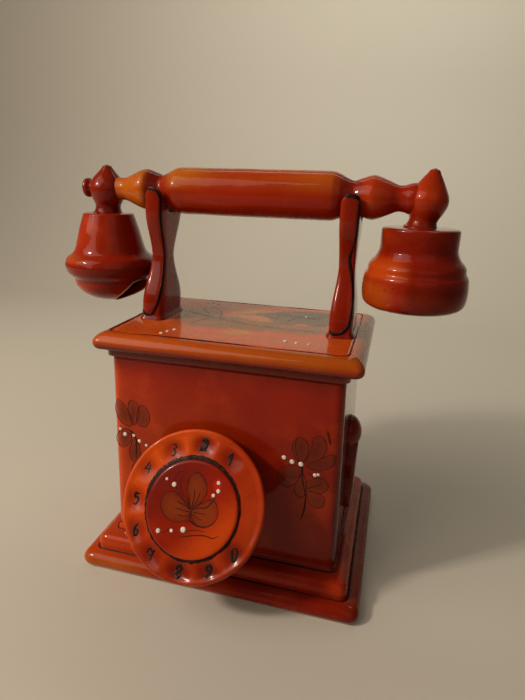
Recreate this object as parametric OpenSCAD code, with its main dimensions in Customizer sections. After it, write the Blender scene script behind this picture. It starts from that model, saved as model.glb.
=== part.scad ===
// Hand-painted glazed ceramic box in the shape of an antique table telephone.
// The origin is the middle of the plinth's resting ring. X runs to the earpiece
// end, Y to the back and Z up. The lid lifts off the body, and the handset
// lifts out of the two forked posts on the lid.

/* [Plinth] */
// Width of the plinth over its rounded nose
plinth_w = 180; // [160:1:220]
// Depth of the plinth over its rounded nose
plinth_d = 144; // [130:1:180]
// Plan radius of the plinth's corners
plinth_corner = 6; // [3:0.5:14]
// Height of the rounded nose
nose_h = 9.7; // [7:0.1:14]
// Height of the upper step, from the nose to the body
step_h = 9.3; // [7:0.1:14]
// How far the upper step stands back from the nose
step_in = 7.5; // [5:0.1:9]
// Thickness of the plinth's deck and of its resting ring
plinth_wall = 6.5; // [4:0.1:7]

/* [Body] */
// Width of the body at its foot
body_w = 147; // [125:1:155]
// How far each side leans in at the top
body_lean = 2.5; // [0:0.1:4]
// Depth of the body
body_d = 106.4; // [90:0.2:115]
// Height of the body's walls
body_h = 122; // [100:1:150]
// Radius of the body's upright corners
body_corner = 5; // [3:0.1:8]
// Thickness of the body's walls at the top
body_wall = 5; // [4:0.1:8]

/* [Lid] */
// Height of the lid
lid_h = 14.7; // [12:0.1:20]
// How far the lid's nose stands out past the top of the body
lid_over_x = 8.5; // [6:0.1:12]
// How far the lid's nose stands out past the body's front and back
lid_over_y = 5.3; // [4:0.1:9]
// Plan radius of the lid's corners
lid_corner = 4; // [2:0.5:12]
// Thickness of the lid over its hollow
lid_skin = 5.2; // [4:0.1:8]
// Depth of the locating ring below the lid
ring_h = 8; // [5:0.5:15]
// Thickness of the locating ring
ring_wall = 4; // [3:0.1:6]
// Gap between the locating ring and the body's mouth
ring_gap = 1; // [0.5:0.1:2]

/* [Cradle posts] */
// Distance between the middles of the two forks
cradle_w = 117.4; // [100:0.1:122]
// How far the cradle stands off the middle of the lid
cradle_shift = 2.4; // [0:0.1:3]
// Height of the handset's axis above the lid
axis_h = 79.5; // [70:0.5:100]
// Height of the prongs above the handset's axis
prong_over = 2; // [0:0.1:4]
// Width of a post at its foot
foot_w = 15; // [12:0.1:18]
// Width of a post at its waist
waist_w = 9.6; // [7:0.1:11]
// Width of a post at its top
top_w = 11.6; // [9:0.1:14]
// Depth of a post at its foot
foot_depth = 34; // [28:0.5:42]
// Depth of a post at its waist
waist_depth = 15; // [12:0.5:20]
// Thickness of each prong, front and back of the handset
prong_wall = 4; // [3:0.1:6]
// Gap between the handset's bead and the fork
seat_gap = 0.4; // [0.3:0.1:1]
// Lean of the left post, in degrees
left_lean = 3; // [0:0.1:4]

/* [Handset] */
// Radius of the grip
grip_r = 14.3; // [11:0.1:17]
// Radius of the necks that lie over the forks
neck_r = 9.3; // [8:0.1:11]
// Radius of the beads outside the necks
bead_r = 12.5; // [11:0.1:15]
// Radius of the bar where it meets the cups' stems
tail_r = 6.9; // [5.5:0.1:8]
// Gap between the mouthpiece and the post beside it
mouth_gap = 2.8; // [1:0.1:8]
// Gap between the earpiece and the post beside it
ear_gap = 1.6; // [1:0.1:8]
// Thickness of the cups' walls
cup_wall = 4.5; // [3:0.1:5]

/* [Mouthpiece] */
// Largest radius of the mouthpiece, at its flange
mouth_r = 29.7; // [26:0.1:36]
// Radius of the mouthpiece's flat top
mouth_top_r = 16.4; // [13:0.1:19.5]
// Radius of the speaking hole
hole_r = 12.8; // [8:0.1:14]
// Lean of the mouthpiece's finial, in degrees
mouth_lean = 2; // [0:0.5:6]
// Radius of the knob on the mouthpiece's outer side
knob_r = 6.2; // [5:0.1:7]

/* [Earpiece] */
// Largest radius of the earpiece
ear_r = 30; // [26:0.1:36]
// Radius of the earpiece's flat top
ear_top_r = 21.6; // [18:0.1:25]
// Lean of the earpiece's finial, in degrees
ear_lean = 7; // [0:0.5:9]
// Radius of the hollow under the earpiece
ear_hollow_r = 22; // [17:0.1:24]

/* [Dial] */
// Radius of the dial
dial_r = 43; // [36:0.5:50]
// Thickness of the dial
dial_t = 5; // [4:0.1:8]
// Tilt of the dial, in degrees from upright
dial_tilt = 30; // [20:1:35]
// Height of the dial's middle
dial_z = 68; // [60:0.5:85]
// How far the dial stands to the left of the middle
dial_off = 8; // [0:0.5:12]
// Radius of the raised middle of the dial
dial_mid_r = 28.5; // [23:0.1:30]
// Radius of the neck behind the dial
dial_neck_r = 15; // [10:0.5:18]
// Number of thumb hollows
thumb_count = 10; // [8:1:12]
// Radius of a thumb hollow's mouth
thumb_r = 5.6; // [4:0.1:6]
// Depth of a thumb hollow
thumb_depth = 2; // [1:0.1:2.5]

/* [Crank] */
// Height of the crank's boss above the table
crank_z = 88; // [75:0.5:100]
// Width of the crank's boss
boss_w = 23; // [18:0.5:28]
// Width of the crank's arm
arm_w = 17; // [12:0.5:18]
// How far the arm's end lies below the boss's middle
arm_drop = 57.5; // [40:0.5:62]
// How far the crank stands out from the wall
crank_out = 5.5; // [4:0.1:8]

/* [Hidden] */
$fn = 72;
glaze = [0.72, 0.17, 0.04];
dark_glaze = [0.45, 0.06, 0.02];
ochre_glaze = [0.80, 0.36, 0.07];

deck_z = nose_h + step_h;
rim_z = deck_z + body_h;
lid_z = rim_z + lid_h;
axis_z = lid_z + axis_h;
body_top_w = body_w - 2 * body_lean;
mouth_w = body_top_w - 2 * body_wall;
mouth_d = body_d - 2 * body_wall;
mouth_corner = 3;
lid_w = body_top_w + 2 * lid_over_x;
lid_d = body_d + 2 * lid_over_y;

neck_at = cradle_w / 2;
post_half = max(foot_w, top_w) / 2;
post_h = axis_h + prong_over;
seat_r = bead_r + seat_gap;
top_depth = 2 * (seat_r + prong_wall);
mouth_at = neck_at + post_half + mouth_gap + mouth_r;
ear_at = neck_at + post_half + ear_gap + ear_r;
stem_base_z = axis_z - 15.2;

// Points of a smooth curve that passes through the points p
function blend4(a, b, c, d, t) = 0.5 * (2 * b + (c - a) * t
  + (2 * a - 5 * b + 4 * c - d) * t * t + (3 * b - a - 3 * c + d) * t * t * t);
function curve(p, n = 5) = [
  for (i = [0 : len(p) - 2], j = [0 : n - 1])
    blend4(p[max(i - 1, 0)], p[i], p[i + 1], p[min(i + 2, len(p) - 1)], j / n),
  p[len(p) - 1]
];
// A smooth step from 0 to 1 as h goes from a to b
function ease(h, a, b) = (1 - cos(180 * min(max((h - a) / (b - a), 0), 1))) / 2;
function arc(cx, cy, r, a, b, n = 8) = [
  for (i = [0 : n]) let (t = a + (b - a) * i / n) [cx + r * cos(t), cy + r * sin(t)]
];

module rounded_plan(w, d, r) {
  translate([-w / 2 + r, -d / 2]) square([w - 2 * r, d]);
  translate([-w / 2, -d / 2 + r]) square([w, d - 2 * r]);
  for (x = [-1, 1], y = [-1, 1])
    translate([x * (w / 2 - r), y * (d / 2 - r)]) circle(r);
}

// A slab whose four edges carry the moulding p, points of [distance in, height],
// mitred at the corners, whose tips are rounded to the radius r
module moulded_slab(w, d, r, p) {
  module run(size, length)
    linear_extrude(length, center = true) polygon(concat(
      [for (q = p) [size / 2 - q[0], q[1]]],
      [for (i = [len(p) - 1 : -1 : 0]) [p[i][0] - size / 2, p[i][1]]]));
  intersection() {
    rotate([90, 0, 90]) run(d, w);
    rotate([90, 0, 0]) run(w, d);
    linear_extrude(p[len(p) - 1][1]) rounded_plan(w, d, r);
  }
}

// ---- plinth and body ----

module plinth() {
  nose_in = 2.2;
  nose = curve([
    [nose_in, 0], [0.6, 1.6], [0, nose_h * 0.45],
    [1.4, nose_h * 0.78], [step_in, nose_h]
  ]);
  step = curve([
    [step_in + 0.1, nose_h + 0.1], [step_in + 0.4, nose_h + step_h * 0.35],
    [step_in + 1.6, nose_h + step_h * 0.72], [step_in + 4.6, deck_z]
  ]);
  hollow = nose_in + plinth_wall;
  color(glaze) difference() {
    moulded_slab(plinth_w, plinth_d, plinth_corner, concat(nose, step));
    translate([0, 0, -1])
      linear_extrude(deck_z - plinth_wall + 1)
        rounded_plan(plinth_w - 2 * hollow - 2 * step_in,
          plinth_d - 2 * hollow - 2 * step_in, mouth_corner);
  }
}

module body_outside() {
  translate([0, 0, deck_z])
    linear_extrude(body_h, scale = [body_top_w / body_w, 1], slices = 1, segments = 0)
      rounded_plan(body_w, body_d, body_corner, $fn = 40);
}

module body_shell() {
  color(glaze) difference() {
    body_outside();
    translate([0, 0, deck_z - 1])
      linear_extrude(body_h + 2) rounded_plan(mouth_w, mouth_d, mouth_corner);
  }
}

// ---- dial ----

// Places its children on the dial: Z is the dial's face, and Y is up the face
module on_dial() {
  back_gap = 0.4;
  out = dial_r * sin(dial_tilt) + dial_t * cos(dial_tilt) + back_gap;
  translate([-dial_off, -body_d / 2 - out, dial_z])
    rotate([90 - dial_tilt, 0, 0]) children();
}

module dial_neck() {
  color(dark_glaze) difference() {
    on_dial() translate([0, 0, -dial_t - dial_r]) cylinder(r = dial_neck_r, h = dial_r);
    translate([-plinth_w / 2, -body_d / 2, 0]) cube([plinth_w, body_d, rim_z]);
  }
}

module dial_plate() {
  rim = 3;
  dish = 0.9;
  thumb_at = (dial_mid_r + dial_r - rim) / 2 + 0.3;
  thumb_ball = (thumb_r * thumb_r + thumb_depth * thumb_depth) / (2 * thumb_depth);
  first_thumb = 54;
  thumb_span = 258;
  thumb_step = thumb_span / (thumb_count - 1);
  color(glaze) on_dial() difference() {
    rotate_extrude() polygon(concat(
      [[0, -dial_t], [dial_r - 2, -dial_t]],
      arc(dial_r - 2, -dial_t + 2, 2, -90, 0),
      arc(dial_r - 1.8, -1.8, 1.8, 0, 90),
      [[dial_r - rim, -dish], [0, -dish]]));
    for (i = [0 : thumb_count - 1]) rotate(first_thumb + i * thumb_step)
      translate([thumb_at, 0, -dish + thumb_ball - thumb_depth]) sphere(thumb_ball);
  }
}

module dial_middle() {
  dish = 0.9;
  crown = 1;
  color(glaze) on_dial() translate([0, 0, -dish]) rotate_extrude() polygon(concat(
    [[0, 0], [dial_mid_r, 0]],
    arc(dial_mid_r - crown, crown, crown, 0, 90),
    [[0, 2 * crown]]));
}

// ---- crank on the right-hand wall ----

module on_right_wall() {
  translate([body_top_w / 2 - 1, 0, crank_z]) rotate([90, 0, 90]) children();
}

module crank_boss() {
  boss_h = 1 + body_lean + crank_out;
  color(dark_glaze) difference() {
    on_right_wall() rotate_extrude() polygon(concat(
      [[0, 0], [boss_w / 2, 0]],
      arc(boss_w / 2 - 3, boss_h - 3, 3, 0, 90),
      [[0, boss_h]]));
    body_outside();
  }
}

module crank_arm() {
  arm_h = body_lean + crank_out;
  end_at = arm_drop - arm_w / 2;
  color(dark_glaze) difference() {
    on_right_wall() {
      translate([-arm_w / 2, -end_at, 0]) cube([arm_w, end_at, arm_h]);
      translate([0, -end_at, 0]) cylinder(d = arm_w, h = arm_h);
    }
    on_right_wall() translate([0, 0, -1]) cylinder(d = boss_w, h = arm_h + 3);
    body_outside();
  }
}

// ---- lid ----

module lid() {
  lip_h = lid_h * 0.32;
  lip_in_x = lid_over_x - 1.4;
  lip_in = min(lip_in_x, lid_over_y - 1);
  nose = curve([
    [lip_in, lip_h], [1.2, lip_h + 1.2], [0, lid_h * 0.58],
    [1.3, lid_h * 0.8], [4.6, lid_h * 0.96], [9, lid_h]
  ]);
  color(ochre_glaze) difference() {
    translate([0, 0, rim_z]) {
      moulded_slab(lid_w, lid_d, lid_corner, nose);
      linear_extrude(lip_h)
        rounded_plan(lid_w - 2 * lip_in_x, lid_d - 2 * lip_in, body_corner);
    }
    translate([0, 0, rim_z - 1])
      linear_extrude(lid_h - lid_skin + 1)
        rounded_plan(mouth_w - 2 * (ring_gap + ring_wall),
          mouth_d - 2 * (ring_gap + ring_wall), mouth_corner);
  }
}

module lid_locating_ring() {
  w = mouth_w - 2 * ring_gap;
  d = mouth_d - 2 * ring_gap;
  color(dark_glaze) translate([0, 0, rim_z - ring_h]) linear_extrude(ring_h)
    difference() {
      rounded_plan(w, d, mouth_corner);
      rounded_plan(w - 2 * ring_wall, d - 2 * ring_wall, mouth_corner);
    }
}

// ---- cradle posts ----

// Half of a size that goes from foot to waist to top as h goes up the post
function post_size(h, foot, waist, top) = let (
    low = post_h * 0.15,
    mid = post_h * 0.48,
    high = post_h * 0.82
  ) (h < mid
    ? foot + (waist - foot) * ease(h, low, mid)
    : waist + (top - waist) * ease(h, mid, high)) / 2;

// The outline of a post seen from one side, from just below the lid to its rounded top
module post_outline(foot, waist, top, top_round, foot_round) {
  steps = 26;
  below = 3;
  side = [for (i = [0 : steps])
    let (h = foot_round + (post_h - top_round - foot_round) * i / steps)
    [post_size(h, foot, waist, top), h]];
  half_top = top / 2;
  half_foot = foot / 2;
  top_arc = [for (i = [1 : 8]) let (t = 90 * i / 8)
    [half_top - top_round + top_round * cos(t), post_h - top_round + top_round * sin(t)]];
  right = concat(
    [[half_foot - foot_round * 0.5, -below], [half_foot - foot_round * 0.5, 0],
     [half_foot - foot_round * 0.15, foot_round * 0.5]],
    side, top_arc);
  left = [for (i = [len(right) - 1 : -1 : 0]) [-right[i][0], right[i][1]]];
  polygon(concat(right, left));
}

module post(x, lean) {
  turn_in = x < 0 ? lean : -lean;
  below = 20;
  color(dark_glaze) difference() {
    translate([x, 0, axis_z]) rotate([0, turn_in, 0]) translate([0, 0, -axis_h])
      intersection() {
        rotate([90, 0, 0]) linear_extrude(2 * foot_depth, center = true)
          post_outline(foot_w, waist_w, top_w, top_w / 2, foot_w / 3);
        rotate([90, 0, 90]) linear_extrude(2 * foot_w, center = true)
          post_outline(foot_depth, waist_depth, top_depth, prong_wall / 2, foot_w / 3);
      }
    translate([x - foot_w, -foot_depth, lid_z - below])
      cube([2 * foot_w, 2 * foot_depth, below]);
    translate([x - foot_w, 0, axis_z])
      rotate([0, 90, 0]) cylinder(r = seat_r, h = 2 * foot_w);
    translate([x - foot_w, -seat_r, axis_z])
      cube([2 * foot_w, 2 * seat_r, 2 * prong_over + seat_r]);
  }
}

// ---- handset ----

// The turned stem and finial above a cup, which leans from its foot.
// tip is the finial's height above the handset's axis
module stem_shape(foot_r, tip, lean) {
  sunk = 3;
  clear = 20;
  axis = axis_z - stem_base_z;
  difference() {
    translate([0, 0, stem_base_z]) rotate([0, lean, 0])
      rotate_extrude() polygon(concat(
        [[0, -sunk], [foot_r, -sunk]],
        curve([
          [foot_r, 0], [foot_r * 0.93, 4.4], [10, 8.6], [11.5, 14.5],
          [11.2, 16.8], [9, 21.6], [5.5, axis + tip * 0.7],
          [3, axis + tip * 0.91], [0, axis + tip]
        ])));
    translate([-clear, -clear, stem_base_z - clear]) cube([2 * clear, 2 * clear, clear]);
  }
}

module on_mouth() { translate([cradle_shift - mouth_at, 0, 0]) children(); }
module on_ear() { translate([cradle_shift + ear_at, 0, 0]) children(); }

module mouth_stem() { on_mouth() stem_shape(8.8, 14.6, mouth_lean); }
module ear_stem() { on_ear() stem_shape(8.6, 16.8, ear_lean); }

module mouthpiece_socket() {
  color(glaze) mouth_stem();
}

module earpiece_socket() {
  color(glaze) ear_stem();
}

module handset_grip() {
  half = [
    [grip_r, 0], [grip_r, neck_at - 13], [grip_r - 0.7, neck_at - 8.6],
    [neck_r + 1.9, neck_at - 4.4], [neck_r, neck_at],
    [neck_r + 1.3, neck_at + 4], [bead_r, neck_at + 10.3],
    [bead_r - 0.8, neck_at + 15.5], [bead_r - 2.6, neck_at + 20],
    [tail_r + 0.6, neck_at + 25.5]
  ];
  module arm(reach) {
    rotate_extrude() polygon(concat(
      [[0, 0]], curve(half), [[tail_r, reach - 8], [tail_r, reach], [0, reach]]));
  }
  color(ochre_glaze) difference() {
    translate([cradle_shift, 0, axis_z]) {
      rotate([0, 90, 0]) arm(ear_at);
      rotate([0, -90, 0]) arm(mouth_at);
    }
    mouth_stem();
    ear_stem();
  }
}

module mouthpiece_end_knob() {
  color(dark_glaze) difference() {
    on_mouth() translate([0, 0, axis_z]) rotate([0, -90, 0])
      rotate_extrude() polygon(concat(
        [[0, 5], [4.2, 5], [4.2, 11]],
        arc(knob_r - 2.6, 13.6, 2.6, -60, 90),
        [[0, 16.2]]));
    mouth_stem();
  }
}

module mouthpiece_bell() {
  flange_z = axis_z - 48.6;
  dome_r = mouth_r * 0.83;
  dome_z = flange_z - 8.2;
  bell_foot = flange_z - 23.6;
  collar_r = mouth_r * 0.8;
  flank = curve([
    [mouth_top_r - 1.4, stem_base_z], [mouth_top_r, stem_base_z - 1.6],
    [mouth_top_r + (collar_r - mouth_top_r) * 0.4, flange_z + 20],
    [collar_r, flange_z + 8.6], [mouth_r * 0.93, flange_z + 5.6],
    [mouth_r, flange_z], [mouth_r * 0.93, flange_z - 5.6], [dome_r, dome_z]
  ]);
  dome = [for (i = [1 : 9]) let (t = 90 * i / 9)
    [dome_r * cos(t), dome_z - (dome_z - bell_foot) * sin(t)]];
  hole_turn = -12;
  hole_drop = 46;
  hole_rise = 4;
  color(glaze) on_mouth() difference() {
    rotate_extrude() polygon(concat([[0, stem_base_z]], flank, dome));
    rotate_extrude() polygon(concat(
      [[0, stem_base_z - cup_wall],
       [mouth_top_r - cup_wall, stem_base_z - cup_wall],
       [collar_r - cup_wall, flange_z + 8.6],
       [mouth_r - 1.6 * cup_wall, flange_z + 1]],
      [for (q = concat([[dome_r, dome_z]], dome)) [
        max(q[0] - cup_wall * cos(90 * (dome_z - q[1]) / (dome_z - bell_foot)), 0),
        q[1] + cup_wall * sin(90 * (dome_z - q[1]) / (dome_z - bell_foot))]]));
    translate([hole_rise, 0, dome_z + hole_rise])
      rotate([0, 0, hole_turn]) rotate([0, 90 + hole_drop, 0])
        cylinder(r = hole_r, h = 2 * mouth_r);
  }
}

module earpiece_cup() {
  cup_foot = axis_z - 60.6;
  belly_z = axis_z - 51.2;
  flank = curve([
    [ear_top_r - 1.2, stem_base_z], [ear_top_r, stem_base_z - 2],
    [ear_top_r + 0.4, belly_z + 24], [ear_r * 0.88, belly_z + 17],
    [ear_r * 0.94, belly_z + 12], [ear_r * 0.965, belly_z + 10]
  ]);
  belly = curve([
    [ear_r * 0.975, belly_z + 9.6], [ear_r, belly_z + 4.5], [ear_r, belly_z - 1.5],
    [ear_r * 0.965, cup_foot + 3.6], [ear_r * 0.88, cup_foot + 0.9],
    [ear_hollow_r + 1.6, cup_foot]
  ]);
  color(glaze) on_ear() difference() {
    rotate_extrude() polygon(concat(
      [[0, stem_base_z]], flank, belly, [[0, cup_foot]]));
    rotate_extrude() polygon([
      [0, cup_foot - 1], [ear_hollow_r, cup_foot - 1], [ear_hollow_r, belly_z + 6],
      [ear_top_r - cup_wall, belly_z + 20],
      [ear_top_r - cup_wall, stem_base_z - cup_wall], [0, stem_base_z - cup_wall]
    ]);
  }
}

plinth();
body_shell();
dial_neck();
dial_plate();
dial_middle();
crank_boss();
crank_arm();
lid();
lid_locating_ring();
post(cradle_shift - neck_at, left_lean);  // cradle_post_left
post(cradle_shift + neck_at, 0);  // cradle_post_right
handset_grip();
mouthpiece_socket();
mouthpiece_end_knob();
mouthpiece_bell();
earpiece_socket();
earpiece_cup();
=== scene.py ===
import math
import bmesh
import bpy
import numpy as np
from mathutils import Matrix, Vector


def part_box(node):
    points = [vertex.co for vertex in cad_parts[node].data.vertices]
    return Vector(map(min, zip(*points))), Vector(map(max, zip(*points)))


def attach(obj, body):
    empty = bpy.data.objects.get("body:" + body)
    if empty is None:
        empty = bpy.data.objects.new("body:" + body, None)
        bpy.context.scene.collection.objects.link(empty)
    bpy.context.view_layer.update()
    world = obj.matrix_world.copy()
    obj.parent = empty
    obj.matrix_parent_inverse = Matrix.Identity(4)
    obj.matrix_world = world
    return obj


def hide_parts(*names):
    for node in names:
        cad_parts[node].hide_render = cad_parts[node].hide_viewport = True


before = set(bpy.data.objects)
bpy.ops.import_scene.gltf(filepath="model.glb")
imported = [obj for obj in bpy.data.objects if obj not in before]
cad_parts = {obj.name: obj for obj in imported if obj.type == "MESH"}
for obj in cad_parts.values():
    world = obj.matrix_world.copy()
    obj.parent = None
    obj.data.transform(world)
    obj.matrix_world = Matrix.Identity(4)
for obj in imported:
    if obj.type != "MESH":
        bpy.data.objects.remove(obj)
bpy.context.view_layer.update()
mm = 0.001
scene = bpy.context.scene

# the camera looks down a little on the dial from the front right
cameraView = {
    "place": (0.08767, -0.30405, 0.24030),
    "right": (0.96625048, 0.2558909, 0.02966237),
    "up": (-0.1070952, 0.29430781, 0.94969128),
    "lens": 25.89, "sensor": 36, "near": 0.01,
}
cameraData = bpy.data.cameras.new("viewCamera")
cameraData.lens = cameraView["lens"]
cameraData.sensor_width = cameraView["sensor"]
cameraData.clip_start = cameraView["near"]
camera = bpy.data.objects.new("viewCamera", cameraData)
rightWay, upWay = Vector(cameraView["right"]), Vector(cameraView["up"])
backWay = rightWay.cross(upWay)
turn = Matrix((rightWay, upWay, backWay)).transposed().to_4x4()
camera.matrix_world = Matrix.Translation(cameraView["place"]) @ turn
scene.collection.objects.link(camera)
scene.camera = camera
print("camera set")


# every length from here to the floor is in millimetres
def boxMm(node):
    low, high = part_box(node)
    return np.array(low) / mm, np.array(high) / mm


def smoothPath(points, steps=6, closed=False):
    p = np.array(points, float)
    n = len(p)
    pick = (lambda i: p[i % n]) if closed else (lambda i: p[min(max(i, 0), n - 1)])
    out = []
    for i in range(n if closed else n - 1):
        a, b, c, d = pick(i - 1), pick(i), pick(i + 1), pick(i + 2)
        for t in np.arange(steps) / steps:
            out.append(0.5 * (2 * b + (c - a) * t + (2 * a - 5 * b + 4 * c - d) * t * t
                              + (3 * b - a - 3 * c + d) * t ** 3))
    return np.array(out if closed else out + [p[-1]])


def turnAngles(count):
    return np.linspace(0, 2 * np.pi, count, endpoint=False)


def ease(x, low, high):
    t = np.clip((np.asarray(x, float) - low) / (high - low), 0, 1)
    return t * t * (3 - 2 * t)


def waves(theta, along, seed, reach=38.0):
    # slow uneven swell from 0 to 1, seamless round a ring
    r = np.random.default_rng(seed)
    total, weight = 0.0, 0.0
    for k in (1, 2, 3, 5):
        share = 1 / k ** 0.7
        total = total + share * np.sin(k * theta + r.uniform(0, 6.28)
                                       + along / reach * r.uniform(0.8, 2.4))
        weight += share
    return 0.5 + 0.5 * total / weight


def faceOutwards(mesh, weld=0.0):
    work = bmesh.new()
    work.from_mesh(mesh)
    if weld:
        bmesh.ops.remove_doubles(work, verts=work.verts, dist=weld)
    bmesh.ops.recalc_face_normals(work, faces=work.faces)
    work.to_mesh(mesh)
    work.free()


def makePiece(name, points, faces, materials, pickMaterial=None):
    mesh = bpy.data.meshes.new(name)
    mesh.from_pydata((np.asarray(points, float) * mm).tolist(), [], faces)
    faceOutwards(mesh, 0.001 * mm)
    for material in materials:
        mesh.materials.append(material)
    mesh.shade_smooth()
    if pickMaterial:
        for face in mesh.polygons:
            face.material_index = pickMaterial(np.array(face.center) / mm)
    piece = bpy.data.objects.new(name, mesh)
    scene.collection.objects.link(piece)
    return piece


def bakePiece(piece):
    # the mesh that the modifiers make takes the place of the piece's own
    bpy.context.view_layer.update()
    seen = piece.evaluated_get(bpy.context.evaluated_depsgraph_get())
    plain = bpy.data.meshes.new_from_object(seen)
    piece.modifiers.clear()
    piece.data = plain
    plain.name = piece.name
    return plain


def loft(rings, first=None, last=None, loop=False):
    # rings of equal count; first and last are the closing points, or the ring's middle
    rings = np.asarray(rings, float)
    n, m = rings.shape[:2]
    i = np.arange(n if loop else n - 1)[:, None]
    j = np.arange(m)[None, :]
    k = (i + 1) % n
    faces = np.stack([i * m + j, i * m + (j + 1) % m, k * m + (j + 1) % m, k * m + j], -1)
    faces = faces.reshape(-1, 4).tolist()
    points = rings.reshape(-1, 3)
    if not loop:
        first = rings[0].mean(0) if first is None else first
        last = rings[-1].mean(0) if last is None else last
        points = np.vstack([points, [first], [last]])
        for a in range(m):
            b = (a + 1) % m
            faces.append([n * m, b, a])
            faces.append([n * m + 1, (n - 1) * m + a, (n - 1) * m + b])
    return points, faces


def turned(profile, segments=112, uneven=0.0, seed=0):
    # a thrown form: profile of (radius, height) from pole to pole
    p = np.array(profile, float)
    inner = p[1:-1]
    theta = turnAngles(segments)
    swell = 1 - uneven * waves(theta[None, :], inner[:, 1:2], seed)
    r = inner[:, 0:1] * swell
    rings = np.stack([r * np.cos(theta), r * np.sin(theta),
                      np.repeat(inner[:, 1:2], segments, 1)], -1)
    return loft(rings, (0, 0, p[0, 1]), (0, 0, p[-1, 1]))


def boxRing(halfX, halfY, radius, counts, corner=7):
    # one level of a slab, from the front left corner round to the right
    radius = min(radius, halfX * 0.95, halfY * 0.95)
    ends = [(halfX - radius, -halfY), (halfX, halfY - radius),
            (-halfX + radius, halfY), (-halfX, -halfY + radius)]
    starts = [(-halfX + radius, -halfY), (halfX, -halfY + radius),
              (halfX - radius, halfY), (-halfX, halfY - radius)]
    middles = [(1, -1), (1, 1), (-1, 1), (-1, -1)]
    out = []
    for k in range(4):
        t = np.linspace(0, 1, counts[k], endpoint=False)[:, None]
        out.append(np.array(starts[k]) * (1 - t) + np.array(ends[k]) * t)
        a = np.radians(-90 + 90 * k) + np.linspace(0, np.pi / 2, corner, endpoint=False)
        cx, cy = middles[k][0] * (halfX - radius), middles[k][1] * (halfY - radius)
        out.append(np.stack([cx + radius * np.cos(a), cy + radius * np.sin(a)], -1))
    return np.vstack(out)


def slabRings(levels, counts, uneven=0.0, seed=0):
    # levels of (half x, half y, corner radius, height)
    rings = []
    for hx, hy, radius, z in levels:
        ring = boxRing(hx, hy, radius, counts)
        theta = np.arctan2(ring[:, 1] / hy, ring[:, 0] / hx)
        ring = ring * (1 - uneven / hx * waves(theta, z * 1.6, seed)[:, None])
        rings.append(np.column_stack([ring, np.full(len(ring), z)]))
    return np.array(rings)


def insetLevels(halfX, halfY, steps):
    # levels set in from the full half sizes: steps of (inset, corner radius, height)
    return [(halfX - inset, halfY - inset, corner, z) for inset, corner, z in steps]


def smoothMax(a, b, k):
    # the larger of two values, with the crease between them rounded over k
    h = np.clip(0.5 + 0.5 * (a - b) / k, 0, 1)
    return b + (a - b) * h + k * h * (1 - h)


netSizes = {"margin": 2.5, "passes": 4, "nudge": 0.05, "leastSlope": 0.2, "mostMove": 0.4}


def netSurface(field, low, high, step):
    # a closed skin where field(x, y, z) passes through zero, with step between its corners
    nudge, mostMove = netSizes["nudge"], netSizes["mostMove"] * step
    low = np.array(low, float) - netSizes["margin"] * step
    axes = [low[i] + step * np.arange(int((high[i] - low[i]) / step) + 4) for i in range(3)]
    v = field(*np.meshgrid(*axes, indexing="ij"))
    inside = v < 0
    corners = [np.array(c) for c in np.ndindex(2, 2, 2)]
    size = np.array(v.shape) - 1
    count = sum(inside[tuple(slice(c[i], c[i] + size[i]) for i in range(3))].astype(int)
                for c in corners)
    mixed = (count > 0) & (count < 8)
    index = np.full(size, -1)
    cells = np.argwhere(mixed)
    index[mixed] = np.arange(len(cells))
    total, hits = np.zeros((len(cells), 3)), np.zeros(len(cells))
    for a in corners:
        for b in corners:
            if (b - a).sum() == 1 and (b - a).min() == 0:
                va, vb = v[tuple((cells + a).T)], v[tuple((cells + b).T)]
                cross = (va < 0) != (vb < 0)
                t = np.where(cross, va / np.where(cross, va - vb, 1), 0)[:, None]
                total += np.where(cross[:, None], a + t * (b - a), 0)
                hits += cross
    points = low + (cells + total / hits[:, None]) * step
    for _ in range(netSizes["passes"]):
        here = field(*points.T)
        slope = np.stack([(field(*(points + nudge * np.eye(3)[i]).T) - here) / nudge
                          for i in range(3)], -1)
        steep = np.maximum((slope ** 2).sum(1), netSizes["leastSlope"])
        move = here[:, None] * slope / steep[:, None]
        points = points - np.clip(move, -mostMove, mostMove)
    faces = []
    for d in range(3):
        e0, e1 = [np.eye(3, dtype=int)[i] for i in range(3) if i != d]
        n = np.array(v.shape)
        n[d] -= 1
        start = inside[tuple(slice(0, n[i]) for i in range(3))]
        end = inside[tuple(slice(int(i == d), n[i] + int(i == d)) for i in range(3))]
        at = np.argwhere(start != end)
        quad = [index[tuple((at - o).T)] for o in (0 * e0, e0, e0 + e1, e1)]
        faces.append(np.stack(quad, -1))
    return points, np.vstack(faces).tolist()


def setColours(piece, name, colours):
    layer = piece.data.attributes.new(name, "FLOAT_COLOR", "POINT")
    layer.data.foreach_set("color", np.asarray(colours, np.float32).ravel())


def pointsOf(piece):
    co = np.zeros(len(piece.data.vertices) * 3)
    piece.data.vertices.foreach_get("co", co)
    return co.reshape(-1, 3) / mm


def setTint(piece, ochre=0.0, deepAndPaintedShade=0.0, paintedLight=0.0):
    # where the sprayed ochre lies, and where painted shade (mixed towards the shade colour) and
    # painted light (mixed towards the thin bright orange) lie
    n = len(piece.data.vertices)
    full = [np.broadcast_to(np.clip(x, 0, 1), n) for x in (ochre, deepAndPaintedShade, paintedLight)]
    setColours(piece, "tint", np.stack(full + [np.ones(n)], -1))


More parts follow.
